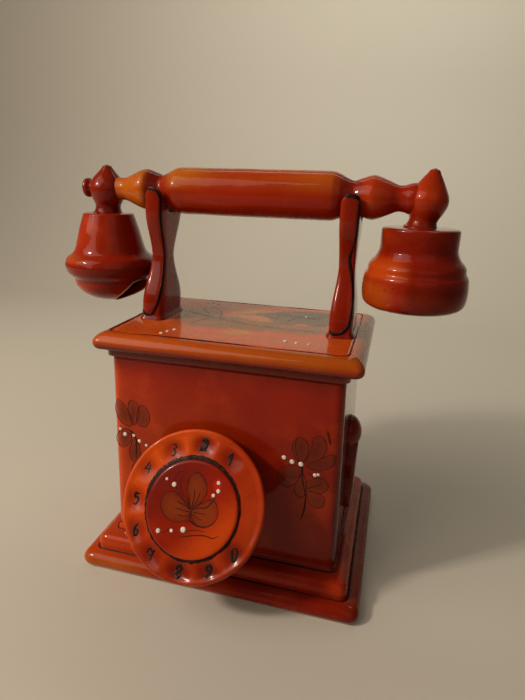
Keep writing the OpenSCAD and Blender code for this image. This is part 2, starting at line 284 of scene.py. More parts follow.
def coverage(u, v, outline, soft):
    # 1 inside a closed outline, 0 outside, blurred over soft
    a = np.array(outline, float)
    b = np.roll(a, -1, 0)
    nearest = np.full(u.shape, 1e9)
    inside = np.zeros(u.shape, bool)
    for (ax, ay), (bx, by) in zip(a, b):
        ex, ey = bx - ax, by - ay
        t = np.clip(((u - ax) * ex + (v - ay) * ey) / max(ex * ex + ey * ey, 1e-9), 0, 1)
        nearest = np.minimum(nearest, np.hypot(u - ax - t * ex, v - ay - t * ey))
        flips = (ay > v) != (by > v)
        safe = ey if abs(ey) > 1e-9 else 1e-9
        inside ^= flips & (u < ax + (v - ay) * ex / safe)
    return ease(np.where(inside, nearest, -nearest), -soft, soft)


def setPaint(piece, u, v, allowed, shapes):
    # brushed colour laid over the glaze: shapes of (outline, colour, strength, soft edge)
    paint = np.zeros((len(u), 4))
    for outline, colour, strength, soft in shapes:
        a = coverage(u, v, outline, soft) * strength * allowed
        kept = paint[:, 3] * (1 - a)
        total = np.maximum(a + kept, 1e-6)
        paint[:, :3] = (np.array(colour) * a[:, None] + paint[:, :3] * kept[:, None]) \
            / total[:, None]
        paint[:, 3] = a + kept
    setColours(piece, "paint", paint)


print("helpers ready")


def addNode(tree, kind, **settings):
    node = tree.nodes.new(kind)
    for key, value in settings.items():
        setattr(node, key, value)
    return node


def setInputs(node, values):
    for key, value in values.items():
        node.inputs[key].default_value = value


def noiseNode(tree, vector, scale, detail=3.0, roughness=0.55, distortion=0.0):
    node = addNode(tree, "ShaderNodeTexNoise")
    setInputs(node, {"Scale": scale, "Detail": detail, "Roughness": roughness,
                     "Distortion": distortion})
    tree.links.new(vector, node.inputs["Vector"])
    return node.outputs["Fac"]


def rangeNode(tree, value, low, high, toLow=0.0, toHigh=1.0):
    node = addNode(tree, "ShaderNodeMapRange", interpolation_type="SMOOTHSTEP")
    setInputs(node, {"From Min": low, "From Max": high, "To Min": toLow, "To Max": toHigh})
    tree.links.new(value, node.inputs["Value"])
    return node.outputs["Result"]


def mixNode(tree, factor, a, b, blend="MIX"):
    node = addNode(tree, "ShaderNodeMix", data_type="RGBA", blend_type=blend)
    for key, x in ((0, factor), (6, a), (7, b)):
        if isinstance(x, bpy.types.NodeSocket):
            tree.links.new(x, node.inputs[key])
        elif key == 0:
            node.inputs[key].default_value = x
        else:
            node.inputs[key].default_value = (*x, 1)
    return node.outputs[2]


def mathNode(tree, operation, a, b=0.0):
    node = addNode(tree, "ShaderNodeMath", operation=operation)
    for key, x in ((0, a), (1, b)):
        if isinstance(x, bpy.types.NodeSocket):
            tree.links.new(x, node.inputs[key])
        else:
            node.inputs[key].default_value = x
    return node.outputs[0]


def timesNode(tree, a, b):
    return mathNode(tree, "MULTIPLY", a, b)


def newMaterial(name):
    material = bpy.data.materials.new(name)
    material.use_nodes = True
    tree = material.node_tree
    place = addNode(tree, "ShaderNodeTexCoord").outputs["Object"]
    return material, tree, tree.nodes["Principled BSDF"], place


def addBump(tree, height, strength, distance, *normals):
    bump = addNode(tree, "ShaderNodeBump")
    setInputs(bump, {"Strength": strength, "Distance": distance})
    tree.links.new(height, bump.inputs["Height"])
    for normal in normals:
        tree.links.new(bump.outputs["Normal"], normal)


def glazeColour(tree, place, look):
    # clouds of deep colour, with thin streaks along the brush
    brush = addNode(tree, "ShaderNodeMapping")
    brush.inputs["Scale"].default_value = look["brush"]
    tree.links.new(place, brush.inputs["Vector"])
    along = brush.outputs["Vector"]
    cloud = rangeNode(tree, noiseNode(tree, place, 15, 3.0, 0.5, 0.4), 0.24, 0.70)
    streak = rangeNode(tree, noiseNode(tree, along, 30, 4, 0.55, 0.3), 0.44, 0.78)
    colour = mixNode(tree, cloud, look["deepAndPaintedShade"], look["main"])
    colour = mixNode(tree, timesNode(tree, streak, look["streaks"]), colour, look["thin"])
    # then the ochre, and the painted light in thin bright orange and the painted shade in the shade
    # colour, where the piece's tint has them
    tint = addNode(tree, "ShaderNodeAttribute", attribute_name="tint")
    parts = addNode(tree, "ShaderNodeSeparateColor")
    tree.links.new(tint.outputs["Color"], parts.inputs["Color"])
    spray = rangeNode(tree, noiseNode(tree, along, 45, 4, 0.65), 0.3, 0.6, 0.55, 1.0)
    spray = timesNode(tree, parts.outputs["Red"], spray)
    colour = mixNode(tree, spray, colour, look["ochre"])
    colour = mixNode(tree, parts.outputs["Blue"], colour, look["thin"])
    return mixNode(tree, timesNode(tree, parts.outputs["Green"], 0.85), colour, look["shade"])


def glazeSpecks(tree, place):
    grit = addNode(tree, "ShaderNodeTexVoronoi")
    grit.inputs["Scale"].default_value = 260
    tree.links.new(place, grit.inputs["Vector"])
    rare = rangeNode(tree, noiseNode(tree, place, 90, 2), 0.56, 0.62)
    return timesNode(tree, rangeNode(tree, grit.outputs["Distance"], 0.10, 0.17, 1, 0), rare)


def makeGlaze(name, look):
    material, tree, shader, place = newMaterial(name)
    colour = glazeColour(tree, place, look)
    speck = glazeSpecks(tree, place)
    colour = mixNode(tree, timesNode(tree, speck, 0.55), colour, look["speck"])
    paint = addNode(tree, "ShaderNodeAttribute", attribute_name="paint")
    worn = rangeNode(tree, noiseNode(tree, place, 60, 3, 0.6), 0.25, 0.55, 0.80, 1.0)
    colour = mixNode(tree, timesNode(tree, paint.outputs["Alpha"], worn), colour,
                     paint.outputs["Color"])
    tree.links.new(colour, shader.inputs["Base Color"])
    fine = noiseNode(tree, place, 420, 3, 0.6)
    tree.links.new(rangeNode(tree, fine, 0.3, 0.7, look["rough"] * 0.8, look["rough"] * 1.35),
                   shader.inputs["Roughness"])
    setInputs(shader, {"Specular IOR Level": 0.05, "Coat Weight": look["coat"],
                       "Coat Roughness": look["coatRough"], "Coat IOR": look["coatIor"]})
    height = mathNode(tree, "ADD", noiseNode(tree, place, 62, 2, 0.5), timesNode(tree, fine, 0.012))
    height = mathNode(tree, "SUBTRACT", height, timesNode(tree, speck, 0.05))
    addBump(tree, height, look["bump"], 0.0012, shader.inputs["Normal"],
            shader.inputs["Coat Normal"])
    return material


def makeBiscuit(name, look):
    material, tree, shader, place = newMaterial(name)
    blotch = rangeNode(tree, noiseNode(tree, place, 40, 4, 0.6), 0.35, 0.65)
    colour = mixNode(tree, blotch, look["clay"], look["paleClay"])
    run = rangeNode(tree, noiseNode(tree, place, 28, 3, 0.5, 1.2), 0.60, 0.64)
    colour = mixNode(tree, timesNode(tree, run, 0.7), colour, look["run"])
    tree.links.new(colour, shader.inputs["Base Color"])
    fine = noiseNode(tree, place, 700, 4, 0.7)
    tree.links.new(rangeNode(tree, fine, 0.3, 0.7, 0.72, 0.92), shader.inputs["Roughness"])
    addBump(tree, fine, 0.5, 0.0003, shader.inputs["Normal"])
    return material


def makeEnamel(name, colour, other, rough, coat):
    material, tree, shader, place = newMaterial(name)
    blotch = rangeNode(tree, noiseNode(tree, place, 320, 3, 0.6), 0.35, 0.65)
    tree.links.new(mixNode(tree, blotch, colour, other), shader.inputs["Base Color"])
    fine = noiseNode(tree, place, 900, 2)
    tree.links.new(rangeNode(tree, fine, 0.3, 0.7, rough * 0.8, rough * 1.4),
                   shader.inputs["Roughness"])
    setInputs(shader, {"Specular IOR Level": 0.1 + coat, "Coat Weight": coat,
                       "Coat Roughness": 0.12})
    addBump(tree, fine, 0.3, 0.0002, shader.inputs["Normal"])
    return material


orangeLook = {
    "deepAndPaintedShade": (0.20, 0.0072, 0.0016), "main": (0.31, 0.0145, 0.0019), "thin": (0.62, 0.070, 0.005),
    "ochre": (0.46, 0.105, 0.0065), "shade": (0.072, 0.0035, 0.0016), "speck": (0.03, 0.005, 0.003),
    "brush": (1, 1, 1), "streaks": 0.45, "rough": 0.24, "coat": 1.0, "coatRough": 0.035,
    "coatIor": 1.24, "bump": 0.30,
}
redLook = dict(orangeLook, deepAndPaintedShade=(0.120, 0.0045, 0.0015), main=(0.205, 0.0085, 0.0018),
               thin=(0.36, 0.030, 0.004), streaks=0.35, bump=0.16)
dialLook = dict(orangeLook, coatRough=0.15, rough=0.30, coatIor=1.22, bump=0.22)
# the lid's glaze is a more orange red, and its paler colours also paint in the pale wall's
# reflection on the lid top
lidLook = dict(orangeLook, coatIor=1.31, bump=0.14, ochre=(0.38, 0.080, 0.005),
               main=(0.37, 0.034, 0.0035), deepAndPaintedShade=(0.29, 0.019, 0.0028),
               thin=(0.66, 0.092, 0.009))
gripLook = dict(orangeLook, brush=(0.25, 1.6, 1.6), streaks=0.6)
orangeGlaze = makeGlaze("orangeGlaze", orangeLook)
redGlaze = makeGlaze("redGlaze", redLook)
gripGlaze = makeGlaze("gripGlaze", gripLook)
dialGlaze = makeGlaze("dialGlaze", dialLook)
lidGlaze = makeGlaze("lidGlaze", lidLook)
bareBiscuit = makeBiscuit("bareBiscuit", {
    "clay": (0.50, 0.34, 0.24), "paleClay": (0.66, 0.52, 0.40), "run": (0.30, 0.03, 0.01)})
lineEnamel = makeEnamel("lineEnamel", (0.010, 0.003, 0.002), (0.026, 0.006, 0.003), 0.42, 0.05)
veinEnamel = makeEnamel("veinEnamel", (0.026, 0.005, 0.0025), (0.060, 0.010, 0.004), 0.5, 0.0)
leafEnamel = makeEnamel("leafEnamel", (0.10, 0.060, 0.022), (0.17, 0.085, 0.030), 0.4, 0.2)
dotEnamel = makeEnamel("dotEnamel", (0.80, 0.72, 0.62), (0.62, 0.53, 0.46), 0.3, 0.3)
print("finishes made")


def newTree(name, inputs):
    tree = bpy.data.node_groups.new(name, "GeometryNodeTree")
    tree.interface.new_socket("Geometry", in_out="INPUT", socket_type="NodeSocketGeometry")
    for label, kind, value in inputs:
        socket = tree.interface.new_socket(label, in_out="INPUT", socket_type=kind)
        if value is not None:
            socket.default_value = value
    tree.interface.new_socket("Geometry", in_out="OUTPUT", socket_type="NodeSocketGeometry")
    return tree, tree.nodes.new("NodeGroupInput"), tree.nodes.new("NodeGroupOutput")


def attributeNode(tree, name, kind):
    node = addNode(tree, "GeometryNodeInputNamedAttribute", data_type=kind)
    node.inputs["Name"].default_value = name
    return node


def linker(tree):
    def link(giver, output, taker, socket):
        tree.links.new(giver.outputs[output], taker.inputs[socket])
    return link


def circleNode(tree, start):
    node = addNode(tree, "GeometryNodeCurvePrimitiveCircle")
    node.inputs["Radius"].default_value = 1
    linker(tree)(start, "Sides", node, "Resolution")
    return node


def closeTree(tree, maker, output, start, end):
    link = linker(tree)
    real = addNode(tree, "GeometryNodeRealizeInstances")
    shade = addNode(tree, "GeometryNodeSetShadeSmooth")
    finish = addNode(tree, "GeometryNodeSetMaterial")
    link(maker, output, real, "Geometry")
    link(real, "Geometry", shade, "Geometry")
    link(shade, "Geometry", finish, "Geometry")
    link(start, "Material", finish, "Material")
    link(finish, "Geometry", end, "Geometry")


def brushLineTree():
    # a flat bead of paint along each line, standing on the surface below it
    tree, start, end = newTree("brushLine", [
        ("Thickness", "NodeSocketFloat", 0.28), ("Sides", "NodeSocketInt", 8),
        ("Material", "NodeSocketMaterial", None)])
    toCurve = addNode(tree, "GeometryNodeMeshToCurve")
    normal = addNode(tree, "GeometryNodeSetCurveNormal", mode="FREE")
    circle = circleNode(tree, start)
    flat = addNode(tree, "GeometryNodeTransform")
    squeeze = addNode(tree, "ShaderNodeCombineXYZ")
    setInputs(squeeze, {"Y": 1, "Z": 1})
    bead = addNode(tree, "GeometryNodeCurveToMesh")
    bead.inputs["Fill Caps"].default_value = True
    link = linker(tree)
    link(start, "Geometry", toCurve, "Mesh")
    link(toCurve, "Curve", normal, "Curve")
    link(attributeNode(tree, "up", "FLOAT_VECTOR"), "Attribute", normal, "Normal")
    link(circle, "Curve", flat, "Geometry")
    link(start, "Thickness", squeeze, "X")
    link(squeeze, "Vector", flat, "Scale")
    link(normal, "Curve", bead, "Curve")
    link(flat, "Geometry", bead, "Profile Curve")
    link(attributeNode(tree, "half", "FLOAT"), "Attribute", bead, "Scale")
    closeTree(tree, bead, "Mesh", start, end)
    return tree


def enamelDotTree():
    # a raised blob of enamel on each point, turned to the surface and never quite alike
    tree, start, end = newTree("enamelDots", [
        ("Blob", "NodeSocketObject", None), ("Least", "NodeSocketFloat", 0.82),
        ("Most", "NodeSocketFloat", 1.12), ("Seed", "NodeSocketInt", 5),
        ("Material", "NodeSocketMaterial", None)])
    info = addNode(tree, "GeometryNodeObjectInfo")
    put = addNode(tree, "GeometryNodeInstanceOnPoints")
    toward = addNode(tree, "FunctionNodeAlignRotationToVector", axis="Z")
    vary = addNode(tree, "FunctionNodeRandomValue", data_type="FLOAT")
    scaled = addNode(tree, "ShaderNodeMath", operation="MULTIPLY")
    link = linker(tree)
    link(start, "Blob", info, "Object")
    link(start, "Geometry", put, "Points")
    link(info, "Geometry", put, "Instance")
    link(attributeNode(tree, "up", "FLOAT_VECTOR"), "Attribute", toward, "Vector")
    link(toward, "Rotation", put, "Rotation")
    link(start, "Least", vary, 2)
    link(start, "Most", vary, 3)
    link(start, "Seed", vary, "Seed")
    link(attributeNode(tree, "half", "FLOAT"), "Attribute", scaled, 0)
    link(vary, 1, scaled, 1)
    link(scaled, 0, put, "Scale")
    closeTree(tree, put, "Instances", start, end)
    return tree


def turnedTree():
    # a round form along a line, as wide at each point as the line says, slightly uneven
    tree, start, end = newTree("turnedForm", [
        ("Sides", "NodeSocketInt", 96), ("Unevenness", "NodeSocketFloat", 0.0004),
        ("Lump Scale", "NodeSocketFloat", 45.0), ("Seed", "NodeSocketFloat", 1.0),
        ("Material", "NodeSocketMaterial", None)])
    toCurve = addNode(tree, "GeometryNodeMeshToCurve")
    circle = circleNode(tree, start)
    body = addNode(tree, "GeometryNodeCurveToMesh")
    body.inputs["Fill Caps"].default_value = True
    lumps = addNode(tree, "ShaderNodeTexNoise", noise_dimensions="4D")
    lumps.inputs["Detail"].default_value = 1
    inward = addNode(tree, "ShaderNodeMath", operation="MULTIPLY")
    negative = addNode(tree, "ShaderNodeMath", operation="MULTIPLY")
    negative.inputs[1].default_value = -1
    move = addNode(tree, "ShaderNodeVectorMath", operation="SCALE")
    shift = addNode(tree, "GeometryNodeSetPosition")
    link = linker(tree)
    link(start, "Geometry", toCurve, "Mesh")
    link(toCurve, "Curve", body, "Curve")
    link(circle, "Curve", body, "Profile Curve")
    link(attributeNode(tree, "half", "FLOAT"), "Attribute", body, "Scale")
    link(addNode(tree, "GeometryNodeInputPosition"), "Position", lumps, "Vector")
    link(start, "Seed", lumps, "W")
    link(start, "Lump Scale", lumps, "Scale")
    link(lumps, "Fac", inward, 0)
    link(start, "Unevenness", inward, 1)
    link(inward, 0, negative, 0)
    link(addNode(tree, "GeometryNodeInputNormal"), "Normal", move, 0)
    link(negative, 0, move, "Scale")
    link(body, "Mesh", shift, "Geometry")
    link(move, "Vector", shift, "Offset")
    closeTree(tree, shift, "Geometry", start, end)
    return tree


brushLine, enamelDots, turnedForm = brushLineTree(), enamelDotTree(), turnedTree()


def runTree(name, source, tree, inputs):
    piece = bpy.data.objects.new(name, source)
    scene.collection.objects.link(piece)
    modifier = piece.modifiers.new("form", "NODES")
    modifier.node_group = tree
    for item in tree.interface.items_tree:
        if item.item_type == "SOCKET" and item.in_out == "INPUT" and item.name in inputs:
            modifier[item.identifier] = inputs[item.name]
    faceOutwards(bakePiece(piece))
    return piece


def lineSource(name, lines):
    # lines of (points, half widths, surface normals, closed), in millimetres
    points, edges, halves, ups = [], [], [], []
    for line, half, up, closed in lines:
        base, n = len(points), len(line)
        points += [tuple(np.array(p) * mm) for p in line]
        halves += list(np.broadcast_to(half, n) * mm)
        ups += np.broadcast_to(up, (n, 3)).tolist()
        edges += [(base + i, base + (i + 1) % n) for i in range(n if closed else n - 1)]
    mesh = bpy.data.meshes.new(name)
    mesh.from_pydata(points, edges, [])
    mesh.attributes.new("half", "FLOAT", "POINT").data.foreach_set("value", halves)
    mesh.attributes.new("up", "FLOAT_VECTOR", "POINT").data.foreach_set(
        "vector", np.array(ups).ravel())
    return mesh


def drawLines(name, lines, material, thickness=0.28, sides=8):
    return runTree(name, lineSource(name, lines), brushLine,
                   {"Thickness": thickness, "Sides": sides, "Material": material})


# one blob two metres wide, which every dot scales down to its own radius
blobPoints, blobFaces = turned([(0, 0.36), (0.22, 0.40), (0.42, 0.47), (0.66, 0.44), (0.86, 0.30),
                                (0.97, 0.10), (0.90, -0.12), (0.5, -0.2), (0, -0.2)], 18)
blob = makePiece("enamelBlob", blobPoints / mm, blobFaces, [dotEnamel])


def dropDots(name, dots, seed):
    # dots of (point, radius, surface normal)
    source = lineSource(name, [([p], r, up, False) for p, r, up in dots])
    return runTree(name, source, enamelDots,
                   {"Blob": blob, "Seed": seed, "Material": dotEnamel})


def turnForm(name, line, halves, material, uneven=0.35, seed=1.0):
    source = lineSource(name, [(line, halves, (0, 0, 1), False)])
    return runTree(name, source, turnedForm, {
        "Unevenness": uneven * mm, "Seed": seed, "Material": material})


def place(piece, body, slot, *nodes):
    if "paint" not in piece.data.attributes:
        setColours(piece, "paint", np.zeros((len(piece.data.vertices), 4)))
    if "tint" not in piece.data.attributes:
        setTint(piece)
    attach(piece, body)
    if nodes:
        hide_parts(*nodes)


def taper(n, half, ends=0.25):
    # a brush stroke's half width, thin where it starts and lifts
    t = np.linspace(0, 1, n)
    return half * (ends + (1 - ends) * np.clip(np.sin(np.pi * t) * 1.6, 0, 1))


print("node trees made")


# the plinth: two moulded steps, open below
plinthHigh = boxMm("plinth")[1]
bodyLow, bodyHigh = boxMm("body_shell")
plinthSizes = {"noseHeight": 9.7, "stepIn": 7.5, "corner": 6.5, "hollowIn": 16.2,
               "hollowHeight": 12.5, "uneven": 0.45}


def makePlinth():
    s = plinthSizes
    hx, hy, top = plinthHigh[0], plinthHigh[1], plinthHigh[2]
    nose, step = s["noseHeight"], s["stepIn"]
    outside = smoothPath([
        (4.4, 0.0), (2.4, 0.15), (0.9, 1.5), (0.05, nose * 0.42), (0.7, nose * 0.70),
        (3.0, nose * 0.93), (step - 1.0, nose + 0.15), (step + 0.1, nose - 0.15),
        (step + 0.5, nose + 0.9), (step + 0.7, nose + 4.2), (step + 1.7, top - 2.2),
        (step + 3.4, top - 0.45), (step + 5.6, top)], 4)
    roof, hollowX, hollowY = s["hollowHeight"], hx - s["hollowIn"], hy - s["hollowIn"]
    levels = [(hx * 0.4, hy * 0.4, 3, roof)]
    levels += insetLevels(hollowX, hollowY, [(1.5, 3, roof), (0, 3, roof - 1.5), (0, 3, 1.2),
                                             (-0.8, 3, 0.2), (-1.6, 3, 0.0)])
    levels += insetLevels(hx, hy, [(inset, max(s["corner"] - 0.25 * inset, 3.5), max(z, 0))
                                   for inset, z in outside])
    levels += insetLevels(hx - step, hy - step, [(9, 5, top)]) + [(hx * 0.5, hy * 0.5, 5, top)]
    points, faces = loft(slabRings(levels, (120, 90, 100, 90), s["uneven"], 3))

    def bare(c):
        hollow = abs(c[0]) < hollowX + 1 and abs(c[1]) < hollowY + 1
        return int(c[2] < 0.9 or (hollow and c[2] < roof + 0.5))
    piece = makePiece("plinthSlab", points, faces, [orangeGlaze, bareBiscuit], bare)
    x, y, z = pointsOf(piece).T
    # painted light on the upper nose at the left front; painted shade to the right and low down,
    # darkest at the right end; ochre low on the left front
    leftFront = ease(-x - 0.5 * y, 60, 115)
    low = ease(z, nose + 1, nose - 3)
    shade = 0.42 * ease(x, 10, 80) * ease(z, 19, 4)
    setTint(piece, ochre=0.85 * leftFront * low, deepAndPaintedShade=shade + 0.4 * ease(x, 76, 84),
            paintedLight=0.6 * leftFront * (1 - low))
    return piece


place(makePlinth(), "box", "orange_glaze", "plinth")


def ringLine(halfX, halfY, radius, z, half, seed, sway=0.25):
    # a hand-drawn line right round a slab
    step = 2.4
    counts = [max(4, int(2 * h / step)) for h in (halfX, halfY, halfX, halfY)]
    ring = boxRing(halfX, halfY, radius, counts, 5)
    theta = np.arctan2(ring[:, 1], ring[:, 0])
    drift = waves(theta * 3, 0, seed) - 0.5
    ring = ring * (1 + sway * 2 * drift / halfY)[:, None]
    width = half * (0.55 + 0.9 * waves(theta * 5, 0, seed + 1))
    line = np.column_stack([ring, np.full(len(ring), z)])
    out = ring / np.linalg.norm(ring, axis=1)[:, None]
    up = np.column_stack([out * 0.7, np.full(len(ring), 0.75)])
    return line, width, up, True


place(drawLines("plinthLines", [
    ringLine(plinthHigh[0] - 7.45, plinthHigh[1] - 7.45, 5.2, 9.9, 0.55, 21),
    ringLine(bodyHigh[0] + 0.7, -bodyLow[1] + 0.75, 5.5, plinthHigh[2] + 0.1, 0.42, 27),
], lineEnamel), "box", "orange_glaze")
print("plinth made")


# the box: four hollow walls that lean in a little, painted with two flowers
bodySizes = {"corner": 5.2, "wall": 5.0, "lean": 2.5, "uneven": 0.55, "foot": 1.1}


def frontDent(x, z):
    # the walls are hand-made: they swell and sink a little between the corners
    high, low = bodyHigh[2], bodyLow[2]
    face = np.cos(np.clip(x / bodyHigh[0], -1, 1) * np.pi / 2) * np.sin(
        np.clip((z - low) / (high - low), 0, 1) * np.pi)
    return bodySizes["uneven"] * face * (0.35 + 0.65 * waves(x / 24, z * 1.2, 8))


def makeBody():
    s = bodySizes
    hx, hy = bodyHigh[0], -bodyLow[1]
    low, high = bodyLow[2], bodyHigh[2]
    topX, inX, inY = hx - s["lean"], hx - s["lean"] - s["wall"], hy - s["wall"]
    levels = []
    footHeights = [low, low + 0.5, low + 1.1, low + 2]
    for z in np.concatenate([footHeights, np.arange(low + 3, high - 1, 1)]):
        lean = s["lean"] * (z - low) / (high - low)
        sunk = s["foot"] * ease(z, low, low + 2.6)
        levels.append((hx - lean - sunk, hy - sunk, s["corner"], z))
    outer = len(levels)
    levels += insetLevels(topX, hy, [(1.3, 5, high - 0.5), (2.3, 4, high)])
    levels += insetLevels(inX, inY, [(-0.8, 3.4, high), (0, 3, high - 0.8), (0, 3, high - 30),
                                     (0, 3, low + 30), (0, 3, low + 0.2)])
    rings = slabRings(levels, (170, 46, 60, 46))
    p = rings[:outer]
    dent = frontDent(p[..., 0], p[..., 2])
    p[..., 1] += np.where(p[..., 1] < -hy + 3, dent, 0) - np.where(p[..., 1] > hy - 3, dent, 0)
    points, faces = loft(rings, loop=True)
    return makePiece("bodyWalls", points, faces, [orangeGlaze])


def bodyFront(x, z):
    # depth of the painted front wall at a place on it
    return bodyLow[1] + bodySizes["foot"] + frontDent(x, z)


def petalPaint(petals, steps, whole, heart, share):
    # each petal is one wash with a smaller one in it; a wash is (colour, strength, soft edge)
    shapes = []
    for petal in petals:
        outline = smoothPath(petal, steps, True)
        middle = outline.mean(0)
        shapes.append((outline, *whole))
        shapes.append((middle + (outline - middle) * share, *heart))
    return shapes


flowerSizes = {"petal": ((0.085, 0.014, 0.0042), 0.55, 1.4),
               "heart": ((0.050, 0.008, 0.003), 0.35, 2.2), "heartShare": 0.55,
               "line": 0.24, "stem": 0.55, "dot": 1.45}
rightPetals = [
    [(48.0, 89.6), (43.2, 96.0), (43.6, 102.4), (47.6, 105.6), (52.0, 101.5), (51.6, 94.5)],
    [(51.0, 90.5), (53.5, 98.0), (55.0, 107.0), (59.9, 107.5), (62.4, 101.0), (58.8, 93.5)],
    [(52.0, 88.4), (58.0, 93.0), (65.7, 98.0), (67.2, 92.6), (62.0, 87.8), (56.0, 86.6)],
    [(48.8, 85.8), (42.0, 87.0), (35.9, 83.4), (35.5, 76.4), (40.2, 72.2), (46.0, 76.0)],
    [(49.6, 82.4), (46.2, 75.9), (45.4, 69.9), (49.4, 66.5), (52.4, 71.5), (51.8, 78.5)],
    [(52.0, 76.4), (55.6, 80.2), (61.6, 81.6), (64.9, 76.6), (60.9, 72.0), (55.6, 72.2)],
    [(53.2, 71.4), (58.2, 71.6), (63.0, 69.4), (62.3, 63.5), (57.8, 61.6), (54.0, 65.2)],
]
leftPetals = [
    [(-59.0, 96.0), (-65.6, 98.4), (-68.6, 105.6), (-66.8, 113.0), (-62.4, 109.6), (-58.6, 102.5)],
    [(-57.5, 97.6), (-60.0, 105.6), (-58.9, 112.9), (-53.9, 112.2), (-52.8, 105.5), (-55.0, 99.5)],
    [(-54.4, 98.9), (-53.9, 106.5), (-51.0, 111.2), (-46.9, 108.0), (-46.2, 101.5), (-49.7, 96.9)],
    [(-60.8, 93.6), (-66.5, 92.0), (-69.2, 86.0), (-66.2, 80.5), (-61.2, 83.5), (-58.8, 89.5)],
    [(-57.0, 88.5), (-60.6, 80.0), (-59.6, 72.5), (-54.9, 71.5), (-53.4, 78.5), (-54.6, 85.5)],
]
bodyWalls = makeBody()
bodyX, bodyY, bodyZ = pointsOf(bodyWalls).T
bodyShapes = petalPaint(rightPetals + leftPetals, 5, flowerSizes["petal"], flowerSizes["heart"],
                        flowerSizes["heartShare"])
setPaint(bodyWalls, bodyX, bodyZ, bodyY < bodyLow[1] + 3.5, bodyShapes)
# painted light on the front's upper left and down the left edge; painted shade towards the lower
# right, under the lid and on the right wall
bodyRise = (bodyZ - bodyLow[2]) / (bodyHigh[2] - bodyLow[2])
frontLit = ease(-bodyX * 0.7 + bodyZ * 0.5, 20, 95) * (bodyY < bodyLow[1] + 6)
leftEdgeLit = ease(bodyX, -61, -68) * (bodyY < bodyLow[1] + 9) * ease(bodyRise, 1.0, 0.9)
setTint(bodyWalls, deepAndPaintedShade=0.60 * ease(bodyX, -30, 70) * ease(bodyRise, 0.98, 0.25)
        + 0.55 * ease(bodyRise, 0.90, 1.0) + 0.4 * (bodyX > bodyHigh[0] - 4),
        paintedLight=0.30 * frontLit * ease(bodyRise, 0.95, 0.6) + 0.45 * leftEdgeLit)
place(bodyWalls, "box", "orange_glaze", "body_shell")


def frontLine(points, half, steps=6, closed=False):
    flat = smoothPath(points, steps, closed)
    line = np.column_stack([flat[:, 0], bodyFront(flat[:, 0], flat[:, 1]), flat[:, 1]])
    width = taper(len(flat), half)
    if closed:
        width = half * (0.6 + 0.8 * waves(np.arange(len(flat)) / 4, flat[:, 0] * 3, 31))
    return line, width, (0, -1, 0), closed


thin, stem = flowerSizes["line"], flowerSizes["stem"]
bodyStrokes = [frontLine(petal, thin, 5, True) for petal in rightPetals + leftPetals]
bodyStrokes += [frontLine(points, half) for points, half in [
    ([(48.7, 88.4), (49.2, 84.5), (49.6, 80.5)], stem * 1.3),
    ([(49.2, 82), (50.4, 76), (52.0, 70.0), (52.3, 63.5), (51.4, 56.5), (49.8, 50.6)], stem),
    ([(48.4, 88.8), (45.5, 95.0), (44.6, 101.5), (45.8, 106.5)], thin),
    ([(52.0, 84.0), (55.5, 83.2), (57.6, 83.6)], thin),
    ([(62.0, 112.5), (63.2, 108.0), (64.4, 104.0)], stem),
    ([(49.0, 80.5), (44.0, 79.5), (39.5, 79.0)], thin),
    ([(52.0, 72.5), (57.0, 76.0), (61.0, 77.5)], thin),
    ([(-60.8, 93.6), (-57.6, 91.6), (-55.9, 87.5), (-55.9, 80.6), (-56.1, 73.0)], stem),
    ([(-66.4, 95.4), (-64.8, 91.0), (-60.4, 90.6), (-56.2, 89.4)], thin * 1.2),
    ([(-56.8, 97.4), (-57.2, 102.5), (-56.4, 107.5)], thin),
    ([(-57.8, 71.5), (-59.8, 66.0), (-60.5, 60.0)], thin),
]]
place(drawLines("bodyFlowerLines", bodyStrokes, veinEnamel, 0.14), "box", "orange_glaze")
frontDots = [(38.3, 91.4), (43.1, 89.4), (48.4, 88.8), (56.8, 83.2), (58.7, 83.8),
             (-66.2, 93.1), (-63.1, 89.9), (-57.2, 89.9), (-53.5, 86.6), (-48.9, 84.3)]
dotShare = [1, 0.95, 1.1, 0.8, 0.7, 0.7, 1.0, 0.8, 0.85, 0.75]
place(dropDots("bodyDots", [
    ((x, float(bodyFront(x, z)) + 0.1, z), flowerSizes["dot"] * k, (0, -1, 0))
    for (x, z), k in zip(frontDots, dotShare)], 5), "box", "orange_glaze")
print("body made")


# the dial: a tilted plate on a neck; on it u runs right, v up and h out of the face
dialSizes = {"radius": 43.0, "thick": 5.0, "tilt": 30.0, "height": 68.0, "left": 8.0,
             "dish": 0.9, "flat": 0.962, "hollowDepth": 1.4, "hollowReach": 6.3,
             "middleRadius": 27.5, "middleRight": 0.4, "middleDrop": 1.9, "middleRise": 1.9,
             "neck": 15.0}
tilt = math.radians(dialSizes["tilt"])
dialOut = dialSizes["radius"] * math.sin(tilt) + dialSizes["thick"] * math.cos(tilt) + 0.4
dialMiddlePoint = np.array([-dialSizes["left"], bodyLow[1] - dialOut, dialSizes["height"]])
dialAcross = np.array([1.0, 0, 0])
dialUp = np.array([0, math.sin(tilt), math.cos(tilt)])
dialFace = np.array([0, -math.cos(tilt), math.sin(tilt)])
thumbPlaces = [(17.8, 28.3), (0.9, 33.9), (-17.3, 28.3), (-30.6, 16.4), (-34.5, -2.1),
               (-31.2, -18.9), (-19.4, -30.2), (-1.4, -36.0), (15.5, -32.8), (28.5, -21.3)]


def onDial(u, v, h):
    u, v, h = np.broadcast_arrays(u, v, h)
    return dialMiddlePoint + u[..., None] * dialAcross + v[..., None] * dialUp \
        + h[..., None] * dialFace


def dialCircle(reach, theta, height, right=0.0, drop=0.0):
    # one ring of a dial piece; height is in millimetres or worked out from the place
    u, v = right + reach * np.cos(theta), -drop + reach * np.sin(theta)
    return onDial(u, v, height(u, v) if callable(height) else height)


